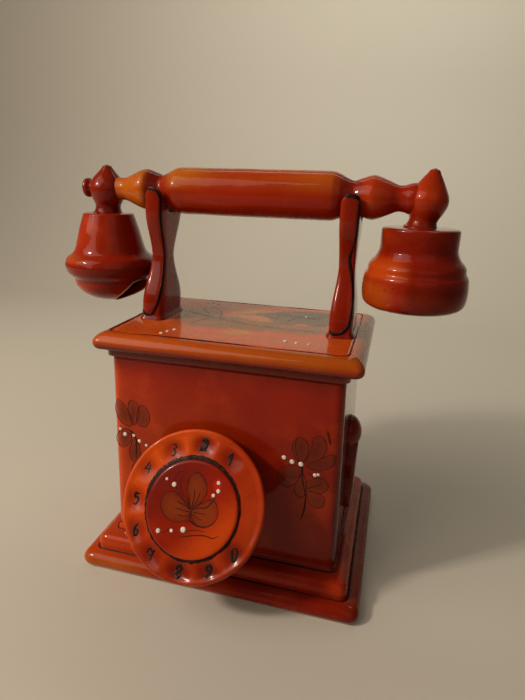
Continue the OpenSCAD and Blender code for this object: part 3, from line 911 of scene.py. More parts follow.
def plateHeight(u, v):
    # the dished face of the dial with its pressed thumb hollows
    s = dialSizes
    r, theta = np.hypot(u, v), np.arctan2(v, u)
    edge = s["radius"] - r
    h = -s["dish"] * ease(edge, 0.6, 5.0) + 0.5 * (waves(theta * 2, 0, 6) - 0.6)
    for k, (cu, cv) in enumerate(thumbPlaces):
        out = np.array([cu, cv]) / math.hypot(cu, cv)
        along = (u - cu) * out[0] + (v - cv) * out[1]
        across = -(u - cu) * out[1] + (v - cv) * out[0]
        far = np.sqrt((along / (s["hollowReach"] * 0.98)) ** 2
                      + (across / (s["hollowReach"] * 1.12)) ** 2)
        depth = s["hollowDepth"] * (0.75 + 0.5 * ((k * 37) % 10) / 10)
        h = h - depth * np.exp(-(far ** 2) * 1.25) + 0.16 * np.exp(-((far - 1.35) / 0.36) ** 2)
    return np.minimum(h, 0)


def makeDialPlate():
    s = dialSizes
    theta = turnAngles(300)
    outer, flat = s["radius"] * (1 - 0.014 * waves(theta * 2, 0, 12)), s["flat"]
    rings = [dialCircle(share * outer, theta, plateHeight)
             for share in np.concatenate([[0.2, 0.45, 0.58], np.arange(0.62, flat, 0.0165)])]
    rimTop = plateHeight(flat * outer * np.cos(theta), flat * outer * np.sin(theta))
    half = (s["thick"] + rimTop) / 2
    for a in np.radians(np.linspace(75, -90, 13)):
        spread = outer * flat + outer * (1 - flat) * np.cos(a)
        rings.append(dialCircle(spread, theta, rimTop - half + half * np.sin(a)))
    rings += [dialCircle(share * outer, theta, -s["thick"]) for share in (0.9, 0.6, 0.3)]
    points, faces = loft(rings)
    piece = makePiece("dialPlate", points, faces, [dialGlaze])
    p = pointsOf(piece) - dialMiddlePoint
    u, v, h = p @ dialAcross, p @ dialUp, p @ dialFace
    # painted shade in the thumb hollows (least at the far left), towards the lower right, along the
    # bottom and on the back; painted light towards the upper left, less in the hollows; ochre near
    # the upper left rim
    sunk = ease(-h, 0.8, 2.0) * (h > -s["thick"] + 0.3)
    setTint(piece, deepAndPaintedShade=0.42 * sunk * ease(u, -45, 10) + 0.50 * ease(u, 5, 45) * ease(-v, -45, 30)
            + 0.25 * ease(-v, 18, 40) + 0.8 * (h < -4.2),
            paintedLight=(0.30 + 0.60 * ease(-u + 0.6 * v, 2, 34)) * (1 - 0.75 * sunk),
            ochre=0.35 * ease(-u + v, 25, 60) * (1 - sunk))
    return piece


def middleHeight(u, v):
    # the raised middle: nearly flat, rounded down at its edge
    s = dialSizes
    r = np.hypot(u - s["middleRight"], v + s["middleDrop"])
    edge = np.clip((r - s["middleRadius"] + 2.2) / 2.3, 0, 1)
    return -s["dish"] + s["middleRise"] * np.sqrt(np.clip(1 - edge ** 2, 0, 1)) \
        - 0.25 * ease(r, 20, 0)


def makeDialMiddle():
    s = dialSizes
    theta = turnAngles(220)
    wide = s["middleRadius"] * (1 - 0.012 * waves(theta * 2, 0, 15))
    spot = s["middleRight"], s["middleDrop"]
    shares = np.concatenate([np.arange(0.02, 0.9, 0.02), np.linspace(0.9, 1.0, 9)])
    rings = [dialCircle(share * wide, theta, middleHeight, *spot) for share in shares]
    rings[-1] -= 0.5 * dialFace
    rings.append(dialCircle(0.9 * wide, theta, -s["dish"] - 1.2, *spot))
    points, faces = loft(rings)
    piece = makePiece("dialMiddle", points, faces, [dialGlaze])
    p = pointsOf(piece) - dialMiddlePoint
    u, v = p @ dialAcross, p @ dialUp
    # painted shade on the upper left of the middle and painted light on its lower right
    setTint(piece, deepAndPaintedShade=0.42 * ease(-u + 0.8 * v, -6, 22), paintedLight=0.55 * ease(u - v, 8, 34))
    shapes = petalPaint(dialPetals, 6, ((0.125, 0.022, 0.0042), 0.50, 1.0),
                        ((0.250, 0.048, 0.0060), 0.45, 3.0), 0.72)
    shapes.append((smoothPath([(14, 17), (11, 13), (13, 10), (16, 12.5)], 4, True),
                   (0.62, 0.02, 0.012), 0.5, 1.2))
    setPaint(piece, u, v, np.ones(len(u)), shapes)
    return piece


dialPetals = [
    [(0.3, -1.6), (-2.5, 3.2), (-4.0, 9.2), (-3.3, 15.0), (0.0, 18.2), (4.1, 16.8), (7.5, 11.8),
     (7.7, 6.6), (4.6, 1.8)],
    [(0.2, -2.6), (-4.6, 1.6), (-10.8, 5.6), (-16.2, 4.2), (-18.0, -0.8), (-16.2, -6.0),
     (-11.2, -9.8), (-4.6, -9.8), (-0.2, -6.8)],
    [(1.0, -3.2), (6.0, 2.2), (11.6, 4.9), (15.3, 2.2), (16.3, -3.6), (13.2, -8.6), (8.3, -10.0),
     (3.4, -8.4)],
]
dialPlate, dialMiddle = makeDialPlate(), makeDialMiddle()
place(dialPlate, "box", "orange_glaze", "dial_plate")
place(dialMiddle, "box", "orange_glaze", "dial_middle")


def makeDialNeck():
    s = dialSizes
    theta = turnAngles(72)
    rings = []
    for t in np.linspace(0, 1, 25):
        wide = s["neck"] * (0.97 + 0.10 * (1 - ease(t, 0, 0.16)) + 0.16 * ease(t, 0.8, 1.0)
                            - 0.03 * math.sin(math.pi * t))
        start = dialCircle(wide, theta, -s["thick"] + 0.4)
        run = (bodyLow[1] + 1.6 - start[:, 1]) / -dialFace[1]
        rings.append(start - dialFace * (run * t)[:, None])
    points, faces = loft(rings)
    return makePiece("dialNeck", points, faces, [redGlaze])


place(makeDialNeck(), "box", "red_glaze", "dial_neck")


def dialLine(points, half, height, steps=6, closed=False, width=None):
    flat = smoothPath(points, steps, closed)
    line = onDial(flat[:, 0], flat[:, 1], height(flat[:, 0], flat[:, 1]) + 0.02)
    return line, taper(len(flat), half) if width is None else width, dialFace, closed


ringTheta = turnAngles(150)
ringJitter = np.random.default_rng(11).normal(0, 0.10, 150)
ringReach = dialSizes["middleRadius"] + 0.15 + 0.8 * (waves(ringTheta * 3, 0, 17) - 0.5)
topThick = ease(np.cos(ringTheta - 2.0), 0.30, 0.95)
ringHalf = 0.66 + 1.15 * topThick + 0.5 * waves(ringTheta * 9, 0, 23) + 1.1 * ringJitter
ringPath = dialCircle(ringReach + ringJitter, ringTheta,
                      lambda u, v: np.maximum(plateHeight(u, v), middleHeight(u, v) - 0.35) + 0.05,
                      dialSizes["middleRight"], dialSizes["middleDrop"])
place(drawLines("dialRing", [(ringPath, ringHalf, dialFace, True)], lineEnamel, 0.16, 10),
      "box", "orange_glaze")

numeralSizes = {"wide": 4.8, "tall": 7.2}
numeralHalves = [0.78, 1.35, 0.56, 0.54, 0.86, 0.92, 0.74, 1.12, 1.05, 0.98]
numeralShapes = [
    [[(-0.42, 0.12), (-0.12, 0.34), (0.30, 0.52)], [(0.26, 0.50), (0.06, 0.05), (-0.10, -0.52)],
     [(-0.30, 0.06), (0.28, 0.10)]],
    [[(-0.42, 0.22), (-0.12, 0.50), (0.36, 0.34), (0.10, 0.02), (-0.42, -0.40), (0.44, -0.42)],
     [(-0.3, -0.3), (0.1, -0.1), (0.4, 0.2)], [(-0.1, -0.42), (0.3, -0.05), (0.36, 0.3)],
     [(-0.34, -0.36), (0.1, -0.30), (0.30, 0.1), (0.05, 0.30), (-0.2, 0.25)]],
    [[(-0.34, 0.34), (0.0, 0.50), (0.34, 0.30), (0.04, 0.06), (0.34, -0.16), (0.10, -0.46),
      (-0.30, -0.40)]],
    [[(0.10, 0.50), (-0.16, 0.16), (-0.42, -0.12), (0.0, -0.16), (0.44, -0.10)],
     [(0.22, 0.22), (0.16, -0.12), (0.12, -0.52)]],
    [[(0.48, 0.46), (0.1, 0.40), (-0.20, 0.44), (-0.26, 0.12), (0.12, 0.12), (0.26, -0.16),
      (0.02, -0.46), (-0.36, -0.40)]],
    [[(0.26, 0.50), (-0.10, 0.26), (-0.30, -0.12), (-0.14, -0.46), (0.20, -0.42), (0.26, -0.12),
      (0.0, 0.02), (-0.24, -0.16)]],
    [[(-0.52, 0.24), (-0.2, 0.42), (0.1, 0.26), (0.46, 0.36)], [(0.44, 0.36), (0.18, -0.06),
      (0.0, -0.54)], [(-0.24, -0.10), (0.30, 0.04)], [(-0.5, 0.3), (-0.42, 0.02)]],
    [[(0.02, 0.02), (-0.30, 0.24), (0.0, 0.50), (0.32, 0.28), (0.02, 0.02), (-0.34, -0.24),
      (-0.02, -0.52), (0.32, -0.24), (0.04, 0.02)]],
    [[(0.32, 0.22), (0.02, 0.02), (-0.30, 0.24), (0.0, 0.50), (0.32, 0.32), (0.24, -0.10),
      (-0.02, -0.52)], [(0.0, -0.2), (-0.2, -0.42)]],
    [[(0.02, 0.50), (-0.30, 0.24), (-0.24, -0.24), (0.04, -0.52), (0.26, -0.20), (0.32, 0.26),
      (0.04, 0.48)]],
]
numeralLines = []
for (cu, cv), strokes, wide in zip(thumbPlaces, numeralShapes, numeralHalves):
    for stroke in strokes:
        spots = [(cu + x * numeralSizes["wide"], cv + y * numeralSizes["tall"]) for x, y in stroke]
        numeralLines.append(dialLine(spots, wide, plateHeight, 7))
place(drawLines("dialNumerals", numeralLines, lineEnamel, 0.15), "box", "orange_glaze")

dialStrokes = []
for petal in dialPetals:
    along = np.arange(len(petal) * 6)
    dialStrokes.append(dialLine(petal, 0.3, middleHeight, 6, True,
                                0.14 + 0.24 * waves(along / 5, along, 41)))
dialStrokes += [dialLine(points, half, middleHeight) for points, half in [
    ([(-1.1, 0.0), (-5.6, 3.4), (-10.2, 8.4), (-11.8, 13.4), (-9.6, 17.0), (-5.2, 17.2)], 0.3),
    ([(-0.8, 0.4), (-6.6, 6.6), (-8.6, 12.0), (-6.4, 15.8)], 0.26),
    ([(0.4, -2.2), (1.2, 3.6), (0.8, 9.2)], 0.30), ([(0.4, -2.2), (3.0, 2.6), (4.4, 8.4)], 0.26),
    ([(0.3, -2.2), (-1.4, 2.4), (-2.2, 6.6)], 0.26),
    ([(0.2, -2.6), (-3.6, -0.6), (-8.8, 1.0)], 0.26),
    ([(0.2, -3.6), (-4.4, -3.4), (-9.4, -2.6)], 0.26),
    ([(0.4, -5.4), (-3.4, -6.4), (-7.0, -6.2)], 0.24),
    ([(0.6, -2.4), (4.6, -0.6), (9.4, 0.4), (12.4, 4.6), (13.2, 6.2)], 0.34),
    ([(0.8, -3.4), (5.0, -3.4), (9.8, -3.2)], 0.22),
    ([(0.9, -4.2), (4.4, -6.0), (8.0, -6.6)], 0.22),
    ([(0.3, -1.8), (0.4, -5.6), (1.6, -8.4), (5.6, -10.0), (10.6, -10.4)], 0.5),
    ([(-1.6, -9.4), (1.4, -8.2), (3.6, -9.0)], 0.42),
    ([(-4.3, -17.9), (-0.1, -16.8), (5.5, -15.2), (11.3, -14.4), (15.7, -14.9), (19.0, -12.9)],
     0.3),
    ([(-1.0, -14.6), (5.0, -12.4), (11.0, -12.6)], 0.2),
    ([(-13.6, -17.6), (-11.6, -15.8), (-9.0, -15.4)], 0.22)]]
place(drawLines("dialFlowerLines", dialStrokes, veinEnamel, 0.12), "box", "orange_glaze")
dialDotPlaces = [(-16.3, -16.6, 1.45), (-8.6, -15.2, 1.3), (-1.8, -13.5, 1.55), (14.1, 14.6, 1.15),
                 (14.7, 10.2, 1.5), (12.2, 7.4, 1.35), (-16.8, 11.9, 1.0), (-11.7, 9.6, 1.4)]
place(dropDots("dialDots", [
    (onDial(u, v, middleHeight(u, v)), r, dialFace) for u, v, r in dialDotPlaces], 9),
      "box", "orange_glaze")
print("dial made")


# the crank on the right-hand wall: a domed boss with a blunt arm hanging from it
bossLow, bossHigh = boxMm("crank_boss")
armLow, armHigh = boxMm("crank_arm")
crankSizes = {"step": 0.8, "round": 2.6, "sunk": 1.4, "dome": 5.6, "crown": 0.8, "armFall": 1.3}


def makeCrankBoss():
    cy, cz = (bossLow[1] + bossHigh[1]) / 2, (bossLow[2] + bossHigh[2]) / 2
    wide, start, end = (bossHigh[1] - bossLow[1]) / 2, bossLow[0], bossHigh[0]

    def field(x, y, z):
        r = np.hypot((y - cy) / 0.94, z - cz)
        face = x - end + crankSizes["dome"] * (r / wide) ** 2.2
        return smoothMax(smoothMax(r - wide, face * 0.8, crankSizes["round"]),
                         start - crankSizes["sunk"] - x, 0.5)
    points, faces = netSurface(field, (start - 2, cy - wide - 1, cz - wide - 1),
                               (end + 1, cy + wide + 1, cz + wide + 1), crankSizes["step"])
    return makePiece("crankBoss", points, faces, [redGlaze])


def makeCrankArm():
    cy, wide = (armLow[1] + armHigh[1]) / 2, (armHigh[1] - armLow[1]) / 2
    top, low, end = bossLow[2] + 3.5, armLow[2], armHigh[0]
    start = armLow[0]

    def field(x, y, z):
        t = np.clip((z - low) / (top - low), 0, 1)
        half = wide * (0.82 + 0.18 * np.cos(np.pi * (t - 0.2) * 1.6) ** 2)
        zz = np.clip(z, low + wide, top)
        r = np.hypot(y - cy, z - zz) - half
        face = x - (end - 0.1 - crankSizes["armFall"] * (1 - t))
        crown = crankSizes["crown"] * ((y - cy) / wide) ** 2
        return smoothMax(smoothMax(r, face + crown, crankSizes["round"]),
                         start - crankSizes["sunk"] - x, 0.5)
    points, faces = netSurface(field, (start - 2, cy - wide - 1, low - 1),
                               (end + 1, cy + wide + 1, top + wide + 1), crankSizes["step"])
    return makePiece("crankArm", points, faces, [redGlaze])


crankBoss, crankArm = makeCrankBoss(), makeCrankArm()
# painted shade darkens the whole crank, like the right wall it stands on
for piece in (crankBoss, crankArm):
    setTint(piece, deepAndPaintedShade=0.30)
place(crankBoss, "box", "red_glaze", "crank_boss")
place(crankArm, "box", "red_glaze", "crank_arm")
print("crank made")


# the lid: a rounded nose all round, a flat painted top and a hollow below
lidLow, lidHigh = boxMm("lid")
ringHigh = boxMm("lid_locating_ring")[1]
lidSizes = {"corner": 4.5, "lip": 4.7, "lipInX": 7.1, "lipInY": 4.3, "lineIn": 8.9,
            "hollowWall": 4.0, "skin": 5.2, "sag": 0.35, "uneven": 0.4}


def makeLid():
    s = lidSizes
    hx, hy = lidHigh[0], lidHigh[1]
    low, top = lidLow[2], lidHigh[2]
    innerX, innerY = ringHigh[0] - s["hollowWall"], ringHigh[1] - s["hollowWall"]
    ceiling = top - s["skin"]
    levels = [(innerX * 0.5, innerY * 0.5, 3, ceiling)]
    levels += insetLevels(innerX, innerY, [(1.5, 3, ceiling), (0, 3, ceiling - 1.5),
                                           (0, 3, low + 0.3), (-0.3, 3, low)])
    levels += insetLevels(hx - s["lipInX"], hy - s["lipInY"], [
        (1.0, 5, low), (0, 5, low + 0.8), (-0.1, 5, low + s["lip"] - 0.7)])
    nose = smoothPath([(4.3, 4.4), (2.6, 4.7), (0.9, 5.6), (0.0, 8.3), (0.7, 10.9), (2.9, 13.2),
                       (5.6, 14.25), (s["lineIn"] - 0.3, 14.5), (s["lineIn"] + 0.2, 14.35),
                       (s["lineIn"] + 0.9, 14.7)], 4)
    levels += insetLevels(hx, hy, [(inset, s["corner"], low + z) for inset, z in nose])
    levels += insetLevels(hx, hy, [(inset, max(3 - inset / 20, 0.4),
                                    top - s["sag"] * ease(inset, s["lineIn"], 40))
                                   for inset in np.arange(s["lineIn"] + 2, hy - 1.5, 1.15)])
    rings = slabRings(levels, (150, 80, 110, 80), s["uneven"], 14)
    points, faces = loft(rings)

    def under(c):
        hollow = abs(c[0]) < innerX + 1.5 and abs(c[1]) < innerY + 1.5
        return int(c[2] < low + 0.1 or (hollow and c[2] < ceiling + 0.4))
    return makePiece("lidSlab", points, faces, [lidGlaze, bareBiscuit], under)


lidSlab = makeLid()
lidX, lidY, lidZ = pointsOf(lidSlab).T
nearTop = lidZ > lidHigh[2] - 0.8
noseOut = np.maximum(np.abs(lidX) - lidHigh[0] + 9, np.abs(lidY) - lidHigh[1] + 9)
noseTop = ease(noseOut, 0.5, 2.5) * ease(lidZ, lidLow[2] + 6.5, lidLow[2] + 11.0)
noseDark = ease(lidX, -80, 75)
# painted light over the whole top for the pale wall's reflection, and on the left of the nose;
# painted shade on the nose's lower half and on its right part; ochre over the nose top, more to the
# right
setTint(lidSlab, ochre=(0.72 + 0.15 * noseDark) * noseTop,
        deepAndPaintedShade=0.92 * ease(lidZ, lidLow[2] + 10.5, lidLow[2] + 5.5)
        + 0.22 * noseDark * noseTop * ease(lidZ, lidLow[2] + 13.5, lidLow[2] + 9),
        paintedLight=0.75 * nearTop * (1 - ease(noseOut, 0.2, 1.5)) + 0.35 * noseTop * (1 - noseDark))
# olive-brown leaf washes on the top; their grey-green tones partly paint the pale wall's reflection
# on the glossy leaves
greyGreen, olive = (0.085, 0.072, 0.032), (0.17, 0.078, 0.018)
lidShapes = [
    ([(-52, 17), (-41, 28), (-28, 30), (-21, 12), (-10, 15), (-1, -6), (-9, -21), (-24, -22),
      (-38, -20), (-48, -4)], greyGreen, 0.66, 4.5),
    ([(-18, 18), (-8, 37), (9, 29), (21, 13), (7, 3), (-5, 7)], (0.50, 0.17, 0.035), 0.80, 3.0),
    ([(-17, 3), (-8, 9), (7, 4), (20, 4), (14, -18), (-2, -18)], olive, 0.78, 4.0),
    ([(-2, 23), (8, 29), (18, 38), (34, 42), (52, 38), (56, 16), (45, 3), (34, 8), (25, 0),
      (14, 8), (9, 17)], (0.050, 0.062, 0.038), 0.88, 2.6),
    ([(9, -6), (21, 2), (47, 2), (55, -9), (38, -16), (18, -16)], (0.13, 0.105, 0.050), 0.70, 4.0),
    ([(-8, -28), (1, -22), (9, -23), (2, -30)], (0.52, 0.26, 0.02), 0.75, 2.5),
    ([(-34, 2), (-24, 8), (-14, 2), (-22, -6)], (0.07, 0.075, 0.05), 0.50, 3.5),
    ([(20, 22), (33, 30), (44, 27), (36, 18)], (0.03, 0.04, 0.03), 0.5, 3.5),
    ([(-46, 36), (-30, 44), (-8, 43), (-14, 36), (-32, 33)], (0.42, 0.16, 0.05), 0.6, 3.0),
    ([(-56, -18), (-30, -30), (10, -36), (52, -26), (54, -38), (0, -44), (-54, -34)],
     (0.60, 0.11, 0.012), 0.55, 5.0),
]
lidShapes = [(smoothPath(outline, 6, True), *wash) for outline, *wash in lidShapes]
setPaint(lidSlab, lidX, lidY, nearTop.astype(float), lidShapes)
place(lidSlab, "lid_and_cradle", "ochre_glaze", "lid")
lidPath, lidWidth, lidUp, _ = ringLine(
    lidHigh[0] - lidSizes["lineIn"], lidHigh[1] - lidSizes["lineIn"], lidSizes["corner"],
    lidHigh[2] - 0.35, 0.62, 51, 0.4)
leftward = ease(lidPath[:, 0], -30, -58)
lidPath[:, 0] -= 2.7 * leftward
lidPath[:, 2] -= 0.12 * leftward
lidWidth = lidWidth * (1 + 0.55 * ease(lidPath[:, 0], 20, -50) * (lidPath[:, 1] < 0))
place(drawLines("lidLine", [(lidPath, lidWidth, lidUp, True)], lineEnamel),
      "lid_and_cradle", "ochre_glaze")


def lidStroke(points, half):
    flat = smoothPath(points, 6)
    line = np.column_stack([flat, np.full(len(flat), lidHigh[2] - 0.3)])
    return line, taper(len(flat), half), (0, 0, 1), False


place(drawLines("lidLeafVeins", [lidStroke(p, 0.30) for p in [
    [(-50, 14), (-36, 8), (-20, 2), (-4, -6)], [(-40, 24), (-30, 10)], [(-26, 24), (-20, 4)],
    [(-34, -16), (-26, 4)], [(-16, 16), (0, 20), (18, 14)], [(-12, 2), (2, -6), (16, -6)],
    [(8, 27), (24, 24), (48, 24)], [(26, 38), (30, 24)], [(40, 38), (40, 24)], [(24, 10), (28, 24)],
    [(12, -8), (30, -8), (52, -8)], [(-6, -26), (6, -26)]]], leafEnamel, 0.10),
      "lid_and_cradle", "ochre_glaze")
lidDotPlaces = [(-40.5, -43.4), (-38.8, -38.6), (-36.4, -33.6), (32.3, -33.5), (38.9, -35.0),
                (46.1, -35.4), (33.9, 25.7), (-42.7, 41.1), (-38.6, 41.2), (-34.3, 40.6)]
place(dropDots("lidDots", [((x, y, lidHigh[2] - 0.2), 1.25, (0, 0, 1))
                               for x, y in lidDotPlaces], 13), "lid_and_cradle", "ochre_glaze")
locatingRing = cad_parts["lid_locating_ring"]
locatingRing.data.materials.clear()
locatingRing.data.materials.append(bareBiscuit)
print("lid made")


# the two forked posts, which hold the handset's axis at axisZ
gripLow, gripHigh = boxMm("handset_grip")
axisZ = (gripLow[2] + gripHigh[2]) / 2
lidTop = lidHigh[2]
postSizes = {"seat": 12.9, "prongTop": 2.0, "footWide": 15.0, "waistWide": 9.8, "topWide": 11.8,
             "footDeep": 34.0, "waistDeep": 15.0, "topDeep": 33.8, "round": 5.6, "step": 0.85,
             "square": 5.5, "leftAt": -56.3, "rightAt": 61.1, "leftLean": 3.0}


def postHalf(z, foot, waist, top):
    h = (np.asarray(z, float) - lidTop) / (axisZ + postSizes["prongTop"] - lidTop)
    lower = foot + (waist - foot) * ease(h, 0.12, 0.50)
    return np.where(h < 0.49, lower, waist + (top - waist) * ease(h, 0.47, 0.84)) / 2


def postMiddle(z, side):
    # the left post leans in towards the top, and the right one stands upright
    below = axisZ - np.asarray(z, float)
    if side > 0:
        return postSizes["rightAt"] + 0 * below
    return postSizes["leftAt"] - below * math.tan(math.radians(postSizes["leftLean"]))


def postField(side):
    s = postSizes

    def field(x, y, z):
        hx = postHalf(z, s["footWide"], s["waistWide"], s["topWide"])
        hy = postHalf(z, s["footDeep"], s["waistDeep"], s["topDeep"])
        foot = 1.6 * (1 - ease(z, lidTop - 0.5, lidTop + 3.0))
        crown = np.clip((z - (axisZ + s["prongTop"] - s["round"])) / s["round"], 0, 0.985)
        hx = hx * np.sqrt(1 - crown ** 2)
        dx, dy = np.abs(x - postMiddle(z, side)), np.abs(y)
        p = s["square"]
        scale = np.minimum(hx, hy) + foot
        shell = ((dx / (hx + foot)) ** p + (dy / (hy + foot)) ** p + 1e-9) ** (1 / p) - 1
        solid = smoothMax(shell * scale, z - (axisZ + s["prongTop"]), 1.5)
        solid = smoothMax(solid, lidTop - 1.2 - z, 0.4)
        seat = np.where(z < axisZ, np.hypot(y, z - axisZ), np.abs(y)) - s["seat"]
        return smoothMax(solid, -seat, 1.6)
    return field


def makePost(name, side):
    field = postField(side)
    node = "cradle_post_right" if side > 0 else "cradle_post_left"
    low, high = boxMm(node)
    points, faces = netSurface(field, (low[0] - 2, low[1] - 1, lidTop - 2),
                               (high[0] + 2, high[1] + 1, high[2] + 1), postSizes["step"])
    piece = makePiece(name, points, faces, [redGlaze])
    x, y, z = pointsOf(piece).T
    # painted light on the front's left and on the right side towards the front; painted shade
    # towards the back and at the foot
    rightward = x - postMiddle(z, side)
    facing = ease(-rightward, -2, 5) * ease(-y, 0, 8)
    inner = ease(rightward, 2, 5) * ease(y, 15, 6)
    setTint(piece, paintedLight=0.30 * facing + 0.35 * inner,
            deepAndPaintedShade=0.30 * ease(y, 2, 16) + 0.35 * ease(z, lidTop + 4, lidTop))
    place(piece, "lid_and_cradle", "red_glaze", node)
    return field


def postFront(field, x, z):
    # walks in from the front, a stride at a time, until it meets the post
    start, stride, strides, near = -24.0, 0.05, 700, 0.02
    y = np.full(len(x), start)
    for _ in range(strides):
        y = np.where(field(x, y, z) > near, y + stride, y)
    return y


def postLine(field, side, edge, half):
    flat = smoothPath(edge, 8)
    x, z = flat[:, 0], flat[:, 1]
    middle = postMiddle(z, side)
    reach = postHalf(z, postSizes["footWide"], postSizes["waistWide"], postSizes["topWide"]) * 0.84
    x = np.clip(x, middle - reach, middle + reach)
    y = postFront(field, x, z)
    met = y < 6
    lean = np.clip((x - middle) / reach, -1, 1)
    up = np.column_stack([lean, -np.sqrt(1.3 - lean ** 2), 0 * lean])
    width = half * (0.55 + 0.6 * waves(np.arange(len(x)) / 9, z, 61)) * np.clip(
        np.minimum(np.arange(len(x)), np.arange(len(x))[::-1]) / 6 + 0.3, 0, 1)
    return np.column_stack([x, y, z])[met], width[met], up[met], False


rightField, leftField = makePost("cradlePostRight", 1), makePost("cradlePostLeft", -1)
rightEdge = [(58.0, 235.6), (62.5, 236.0), (66.2, 233.4), (67.2, 227.0), (66.4, 218.0),
             (64.6, 208.7), (62.9, 200.9), (64.9, 190.0), (66.4, 181.0), (66.8, 172.0),
             (66.2, 164.0), (62.0, 158.6), (57.0, 157.4), (54.6, 159.8)]
leftEdge = [(-60.6, 235.4), (-56.8, 236.2), (-53.0, 234.3), (-50.9, 226.9), (-51.8, 212.2),
            (-53.4, 200.9), (-53.0, 188.1), (-53.9, 176.0), (-55.4, 166.4), (-59.5, 159.3),
            (-64.0, 158.6), (-67.0, 161.4)]
place(drawLines("postLines", [
    postLine(rightField, 1, rightEdge, 1.45), postLine(leftField, -1, leftEdge, 1.40),
], lineEnamel, 0.3), "lid_and_cradle", "red_glaze")
print("posts made")


# the handset: grip, two stems with their finials, the mouthpiece bell and the earpiece cup
bellLow, bellHigh = boxMm("mouthpiece_bell")
cupLow, cupHigh = boxMm("earpiece_cup")
mouthX, earX = (bellLow[0] + bellHigh[0]) / 2, (cupLow[0] + cupHigh[0]) / 2
stemFoot = bellHigh[2]
gripSizes = {"middle": 2.4, "neckAt": 58.7, "grip": 14.2, "neck": 9.3, "bead": 12.5, "tail": 6.9}


def axisLine(x):
    # places on the handset's long axis
    return np.column_stack([x, 0 * x, np.full(len(x), axisZ)])


def makeGrip():
    s = gripSizes
    n = s["neckAt"]
    half = [(0, s["grip"]), (n - 26, s["grip"] - 0.1), (n - 13, s["grip"] - 0.15),
            (n - 8.2, s["grip"] - 1.3), (n - 4.0, s["neck"] + 1.5), (n, s["neck"]),
            (n + 3.6, s["neck"] + 1.1), (n + 10.0, s["bead"] - 0.05), (n + 14.0, s["bead"] - 0.55),
            (n + 19.5, s["bead"] - 2.7), (n + 25.0, s["tail"] + 0.6)]
    earReach, mouthReach = earX - s["middle"], s["middle"] - mouthX
    rightSide = half + [(earReach - 10.6, 7.7), (earReach - 8.2, 8.5), (earReach - 5.5, 8.9),
                        (earReach - 2.5, 8.5)]
    leftSide = half + [(mouthReach - 12.0, 7.1), (mouthReach - 9.5, 7.2), (mouthReach - 6.0, 7.5),
                       (mouthReach - 3.0, 7.3)]
    keys = [(-a, r) for a, r in leftSide[:0:-1]] + rightSide
    path = smoothPath(keys, 9)
    piece = turnForm("handsetGrip", axisLine(path[:, 0] + s["middle"]), path[:, 1], gripGlaze,
                     0.5, 3.0)
    x, _, z = pointsOf(piece).T
    up = (z - axisZ) / s["grip"]
    topSide = ease(up, -0.25, 0.75)
    leftBead = ease(x, -62.0, -66.5) * ease(x, -97, -88)
    ochre = 0.95 * leftBead + 0.85 * ease(x, -58, -44) * ease(x, -14, -42) * topSide \
        + 0.35 * ease(x, 10, 44) * ease(x, 58, 50) * topSide + 0.25 * topSide * (np.abs(x) < 50)
    # painted shade at the two necks, where the posts hold the grip, and along its underside; painted
    # light on the right bead
    deepAndPaintedShade = 0.75 * ease(x, -67, -64) * ease(x, -54, -60) + 0.35 * ease(x, 52, 58) \
        * ease(x, 68, 62) + 0.4 * ease(up, -0.4, -0.95)
    setTint(piece, ochre=ochre, deepAndPaintedShade=deepAndPaintedShade, paintedLight=0.3 * ease(x, 62, 70) * ease(x, 84, 74))
    return piece


place(makeGrip(), "handset", "ochre_glaze", "handset_grip")

stemSizes = {"mouth": {"foot": 8.7, "tip": 14.6, "lean": 2.0},
             "ear": {"foot": 8.7, "tip": 16.8, "lean": 7.0}}


def makeStem(name, x, size, seed, node, glaze, slot):
    rise = axisZ - stemFoot
    top = rise + size["tip"]
    keys = [(-0.6, size["foot"] + 1.9), (0.0, size["foot"] + 1.5), (0.7, size["foot"] + 0.4),
            (2.2, size["foot"] - 0.35), (4.6, size["foot"] - 0.6), (8.6, 9.9), (12.4, 11.2),
            (15.2, 11.5), (18.2, 10.8), (21.6, 8.9), (rise + size["tip"] * 0.7, 5.4),
            (rise + size["tip"] * 0.84, 3.7), (rise + size["tip"] * 0.94, 2.6),
            (top - 0.45, 1.3), (top - 0.1, 0.5), (top, 0.08)]
    path = smoothPath(keys, 6)
    path[:, 1] = np.maximum(path[:, 1], 0.06)
    h = path[:, 0]
    lean = math.tan(math.radians(size["lean"])) * np.maximum(h, 0)
    z = stemFoot + h * np.where(h > 0, math.cos(math.radians(size["lean"])), 1)
    line = np.column_stack([x + lean, 0 * h, z])
    piece = turnForm(name, line, path[:, 1], glaze, 0.4, seed)
    px, py, pz = pointsOf(piece).T
    # painted shade low at the foot, towards the back and on the right; painted light higher up
    setTint(piece, deepAndPaintedShade=0.45 * ease(pz, stemFoot + 9, stemFoot) + 0.25 * ease(py, 0, 9)
            + 0.22 * ease(px - x, -4, 7), paintedLight=0.15 * ease(pz, stemFoot + 10, stemFoot + 20))
    place(piece, "handset", slot, node)


makeStem("mouthpieceSocket", mouthX, stemSizes["mouth"], 5.0, "mouthpiece_socket", redGlaze,
         "red_glaze")
makeStem("earpieceSocket", earX, stemSizes["ear"], 8.0, "earpiece_socket", orangeGlaze,
         "orange_glaze")


def makeKnob():
    # places along the knob count from its tip inwards
    widest, thinnest = 6.15, 0.06
    tip = boxMm("mouthpiece_end_knob")[0][0]
    path = smoothPath([(7.2, 4.9), (5.8, 4.6), (5.0, 5.1), (4.0, 5.95), (2.8, widest), (1.6, 5.8),
                       (0.7, 4.4), (0.15, 2.4), (0.0, 0.1)], 6)
    path[:, 1] = np.clip(path[:, 1], thinnest, widest)
    return turnForm("mouthpieceEndKnob", axisLine(tip + path[:, 0]), path[:, 1], redGlaze, 0.25, 2.0)


place(makeKnob(), "handset", "red_glaze", "mouthpiece_end_knob")

